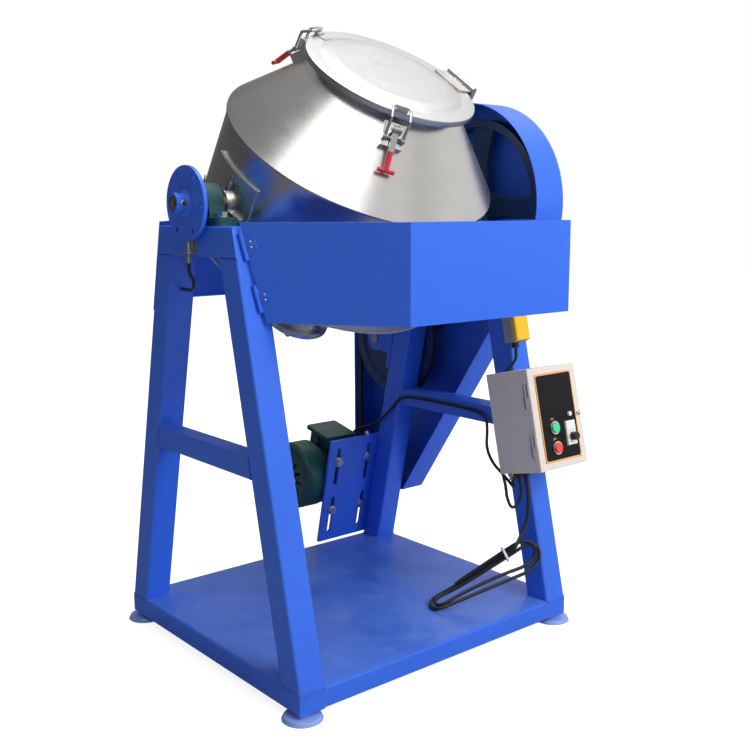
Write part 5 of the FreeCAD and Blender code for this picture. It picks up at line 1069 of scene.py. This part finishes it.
hubSide = Vector((hubSpec["x"], hubSpec["depth"] - hubSpec["radius"] + hubSpec["sink"], hubSpec["height"]))
socketAt = hubSide - Vector((0, screwSizes["up"], 0))
boreAt = (hubSpec["face"], hubSpec["depth"], hubSpec["height"])
hubFitting("hubSetScrew", hubSide, (0, -1, 0), screwSizes["head"], extra["brass"], "bright_steel")
hubFitting("hubSetSocket", socketAt, (0, -1, 0), screwSizes["socket"], extra["nutBlack"], "black_plastic")
hubFitting("hubBore", boreAt, (-1, 0, 0), screwSizes["bore"], extra["brass"], "bright_steel")
greaseSpec = {
    "x": {"Left": -345, "Right": 345}, "up": 45.0, "base": (0.0032, 0.005), "tip": (0.0019, 0.0042),
}
for side, x in greaseSpec["x"].items():
    place = rowPoint(x, 0.0, drumAxis["centre"][2] + greaseSpec["up"])
    onBase = place + Vector((0, 0, greaseSpec["base"][1]))
    buttons("greaseBase" + side, [(place, (0, 0, 1))], *greaseSpec["base"], extra["brass"], "frame",
            "bright_steel")
    buttons("greaseTip" + side, [(onBase, (0, 0, 1))], *greaseSpec["tip"], extra["brass"], "frame",
            "bright_steel", 0.001)

tieSpec = {
    "place": (0.2255, -0.2965, 0.1700), "along": (0.74, -0.50, 0.42), "reach": 0.0165, "thick": 0.0012,
    "wide": 2.4, "segments": 40, "sides": 8,
}


def makeTie(d):  # a flat band round the hank
    turnTo = Vector(d["along"]).normalized().to_track_quat("Z", "Y").to_matrix()
    segments, sides = d["segments"], d["sides"]
    verts, faces = [], []
    for i in range(segments):
        around = 2 * math.pi * i / segments
        for k in range(sides):
            across = 2 * math.pi * k / sides
            reach = d["reach"] + d["thick"] * math.cos(across)
            height = d["wide"] * d["thick"] * math.sin(across)
            spot = Vector((reach * math.cos(around), reach * math.sin(around), height))
            verts.append(Vector(d["place"]) + turnTo @ spot)
    for i in range(segments):
        here, there = i * sides, (i + 1) % segments * sides
        for k in range(sides):
            n = (k + 1) % sides
            faces.append((here + k, there + k, there + n, here + n))
    mesh = bpy.data.meshes.new("cordTie")
    mesh.from_pydata(verts, [], faces)
    mesh.polygons.foreach_set("use_smooth", [True] * len(mesh.polygons))
    newPiece("cordTie", mesh, extra["tieWhite"], "frame", "white_plastic")


makeTie(tieSpec)
print("small fittings placed")


# floor, light and background
floorSpec = {
    "radius": 14.0, "corners": 64, "colour": (0.55, 0.55, 0.56, 1), "inMetal": (0.22, 0.22, 0.23, 1),
    "near": 0.7, "far": 2.6, "nearGlow": 0.84,
}
worldSpec = {
    "bright": (0.55, -0.45, 0.70), "patches": (0.70, 1.20),
    "ambient": 0.25, "ambientColour": (0.96, 0.98, 1.0, 1),
    "steps": [(0.0, 0.05), (0.28, 0.08), (0.50, 0.16), (0.62, 0.30), (0.78, 0.66), (0.95, 0.78)],
}


def mixShader(tree, factor, first, second):
    return addNode(tree, "ShaderNodeMixShader", {0: factor, 1: first.outputs[0], 2: second.outputs[0]})


def makeFloor(d):  # it keeps the object's shadow and fades to white further out
    angles = [2 * math.pi * k / d["corners"] for k in range(d["corners"])]
    mesh = bpy.data.meshes.new("studioFloor")
    rim = [(d["radius"] * math.cos(a), d["radius"] * math.sin(a), 0.0) for a in angles]
    mesh.from_pydata(rim, [], [list(range(d["corners"]))])
    floor = bpy.data.objects.new("studioFloor", mesh)
    scene.collection.objects.link(floor)
    material = bpy.data.materials.new("floorWhite")
    material.use_nodes = True
    tree = material.node_tree
    tree.nodes.clear()
    out = tree.nodes.new("ShaderNodeOutputMaterial")
    rays = tree.nodes.new("ShaderNodeLightPath")
    shader = addNode(tree, "ShaderNodeBsdfPrincipled", {"Base Color": d["colour"], "Roughness": 0.75})
    dull = addNode(tree, "ShaderNodeBsdfPrincipled", {"Base Color": d["inMetal"], "Roughness": 0.8})
    spot = tree.nodes.new("ShaderNodeTexCoord").outputs["Object"]
    away = addNode(tree, "ShaderNodeVectorMath", {0: spot}, operation="LENGTH").outputs["Value"]
    lift = rangeNode(tree, away, d["near"], d["far"], d["nearGlow"], 1.0)
    glow = addNode(tree, "ShaderNodeEmission", {"Color": (1, 1, 1, 1), "Strength": lift})
    both = addNode(tree, "ShaderNodeAddShader", {0: shader.outputs[0], 1: glow.outputs[0]})
    bounced = mixShader(tree, rays.outputs["Is Glossy Ray"], shader, dull)
    seen = mixShader(tree, rays.outputs["Is Camera Ray"], bounced, both)
    tree.links.new(seen.outputs[0], out.inputs[0])
    mesh.materials.append(material)


def makeWorld(d):  # white to the camera, a soft uneven room in metal
    world = bpy.data.worlds.new("studioWorld")
    scene.world = world
    world.use_nodes = True
    tree = world.node_tree
    tree.nodes.clear()
    out = tree.nodes.new("ShaderNodeOutputWorld")
    rays = tree.nodes.new("ShaderNodeLightPath")
    where = tree.nodes.new("ShaderNodeTexCoord").outputs["Generated"]
    side = addNode(tree, "ShaderNodeVectorMath", {0: where, 1: d["bright"]}, operation="DOT_PRODUCT")
    share = mathNode(tree, "MULTIPLY_ADD", side.outputs["Value"], 0.5, 0.5)
    ramp = addNode(tree, "ShaderNodeValToRGB", {0: share})
    while len(ramp.color_ramp.elements) < len(d["steps"]):
        ramp.color_ramp.elements.new(0.5)
    for element, (at, value) in zip(ramp.color_ramp.elements, d["steps"]):
        element.position = at
        element.color = (value, value * 0.985, value * 0.97, 1)
    tint = rangeNode(tree, noiseNode(tree, where, 3.2, 3.0), 0.35, 0.65, *d["patches"])
    room = addNode(tree, "ShaderNodeBackground", {"Color": ramp.outputs[0], "Strength": tint})
    soft = addNode(tree, "ShaderNodeBackground", {"Color": d["ambientColour"], "Strength": d["ambient"]})
    white = addNode(tree, "ShaderNodeBackground", {"Color": (1, 1, 1, 1), "Strength": 1.0})
    shiny = mixShader(tree, rays.outputs["Is Glossy Ray"], soft, room)
    clear = mathNode(tree, "MAXIMUM", rays.outputs["Is Camera Ray"], rays.outputs["Is Transmission Ray"])
    tree.links.new(mixShader(tree, clear, shiny, white).outputs[0], out.inputs[0])


def areaLight(name, place, size, power, aim=(0.0, 0.0, 0.75), diffuse=True, glossy=True):
    light = bpy.data.lights.new(name, "AREA")
    light.shape = "RECTANGLE"
    light.size, light.size_y = size
    light.energy = power
    obj = bpy.data.objects.new(name, light)
    scene.collection.objects.link(obj)
    obj.location = place
    obj.rotation_euler = (Vector(aim) - Vector(place)).to_track_quat("-Z", "Y").to_euler()
    obj.visible_diffuse = diffuse
    obj.visible_glossy = glossy


lightSpec = {  # the two cards show only in polished steel
    "keyFront": {"place": (0.9, -3.4, 2.3), "size": (2.2, 1.8), "power": 112, "glossy": False},
    "fillLeft": {"place": (-2.9, -1.3, 2.0), "size": (1.2, 2.0), "power": 3, "glossy": False},
    "overTop": {"place": (0.2, -0.2, 3.6), "size": (2.4, 2.0), "power": 50},
    "backRight": {"place": (2.6, 1.8, 2.2), "size": (1.5, 1.5), "power": 22, "glossy": False},
    "drumCard": {
        "place": (-1.50, -1.85, 2.90), "size": (2.9, 2.0), "power": 36, "diffuse": False,
        "aim": (-0.03, -0.03, 0.95)},
    "lidCard": {
        "place": (2.0, 0.6, 3.2), "size": (2.6, 2.2), "power": 4.0, "diffuse": False,
        "aim": (0.0, -0.15, 1.2)},
}
makeFloor(floorSpec)
makeWorld(worldSpec)
for name, how in lightSpec.items():
    areaLight(name, **how)
print("stage and lights set")
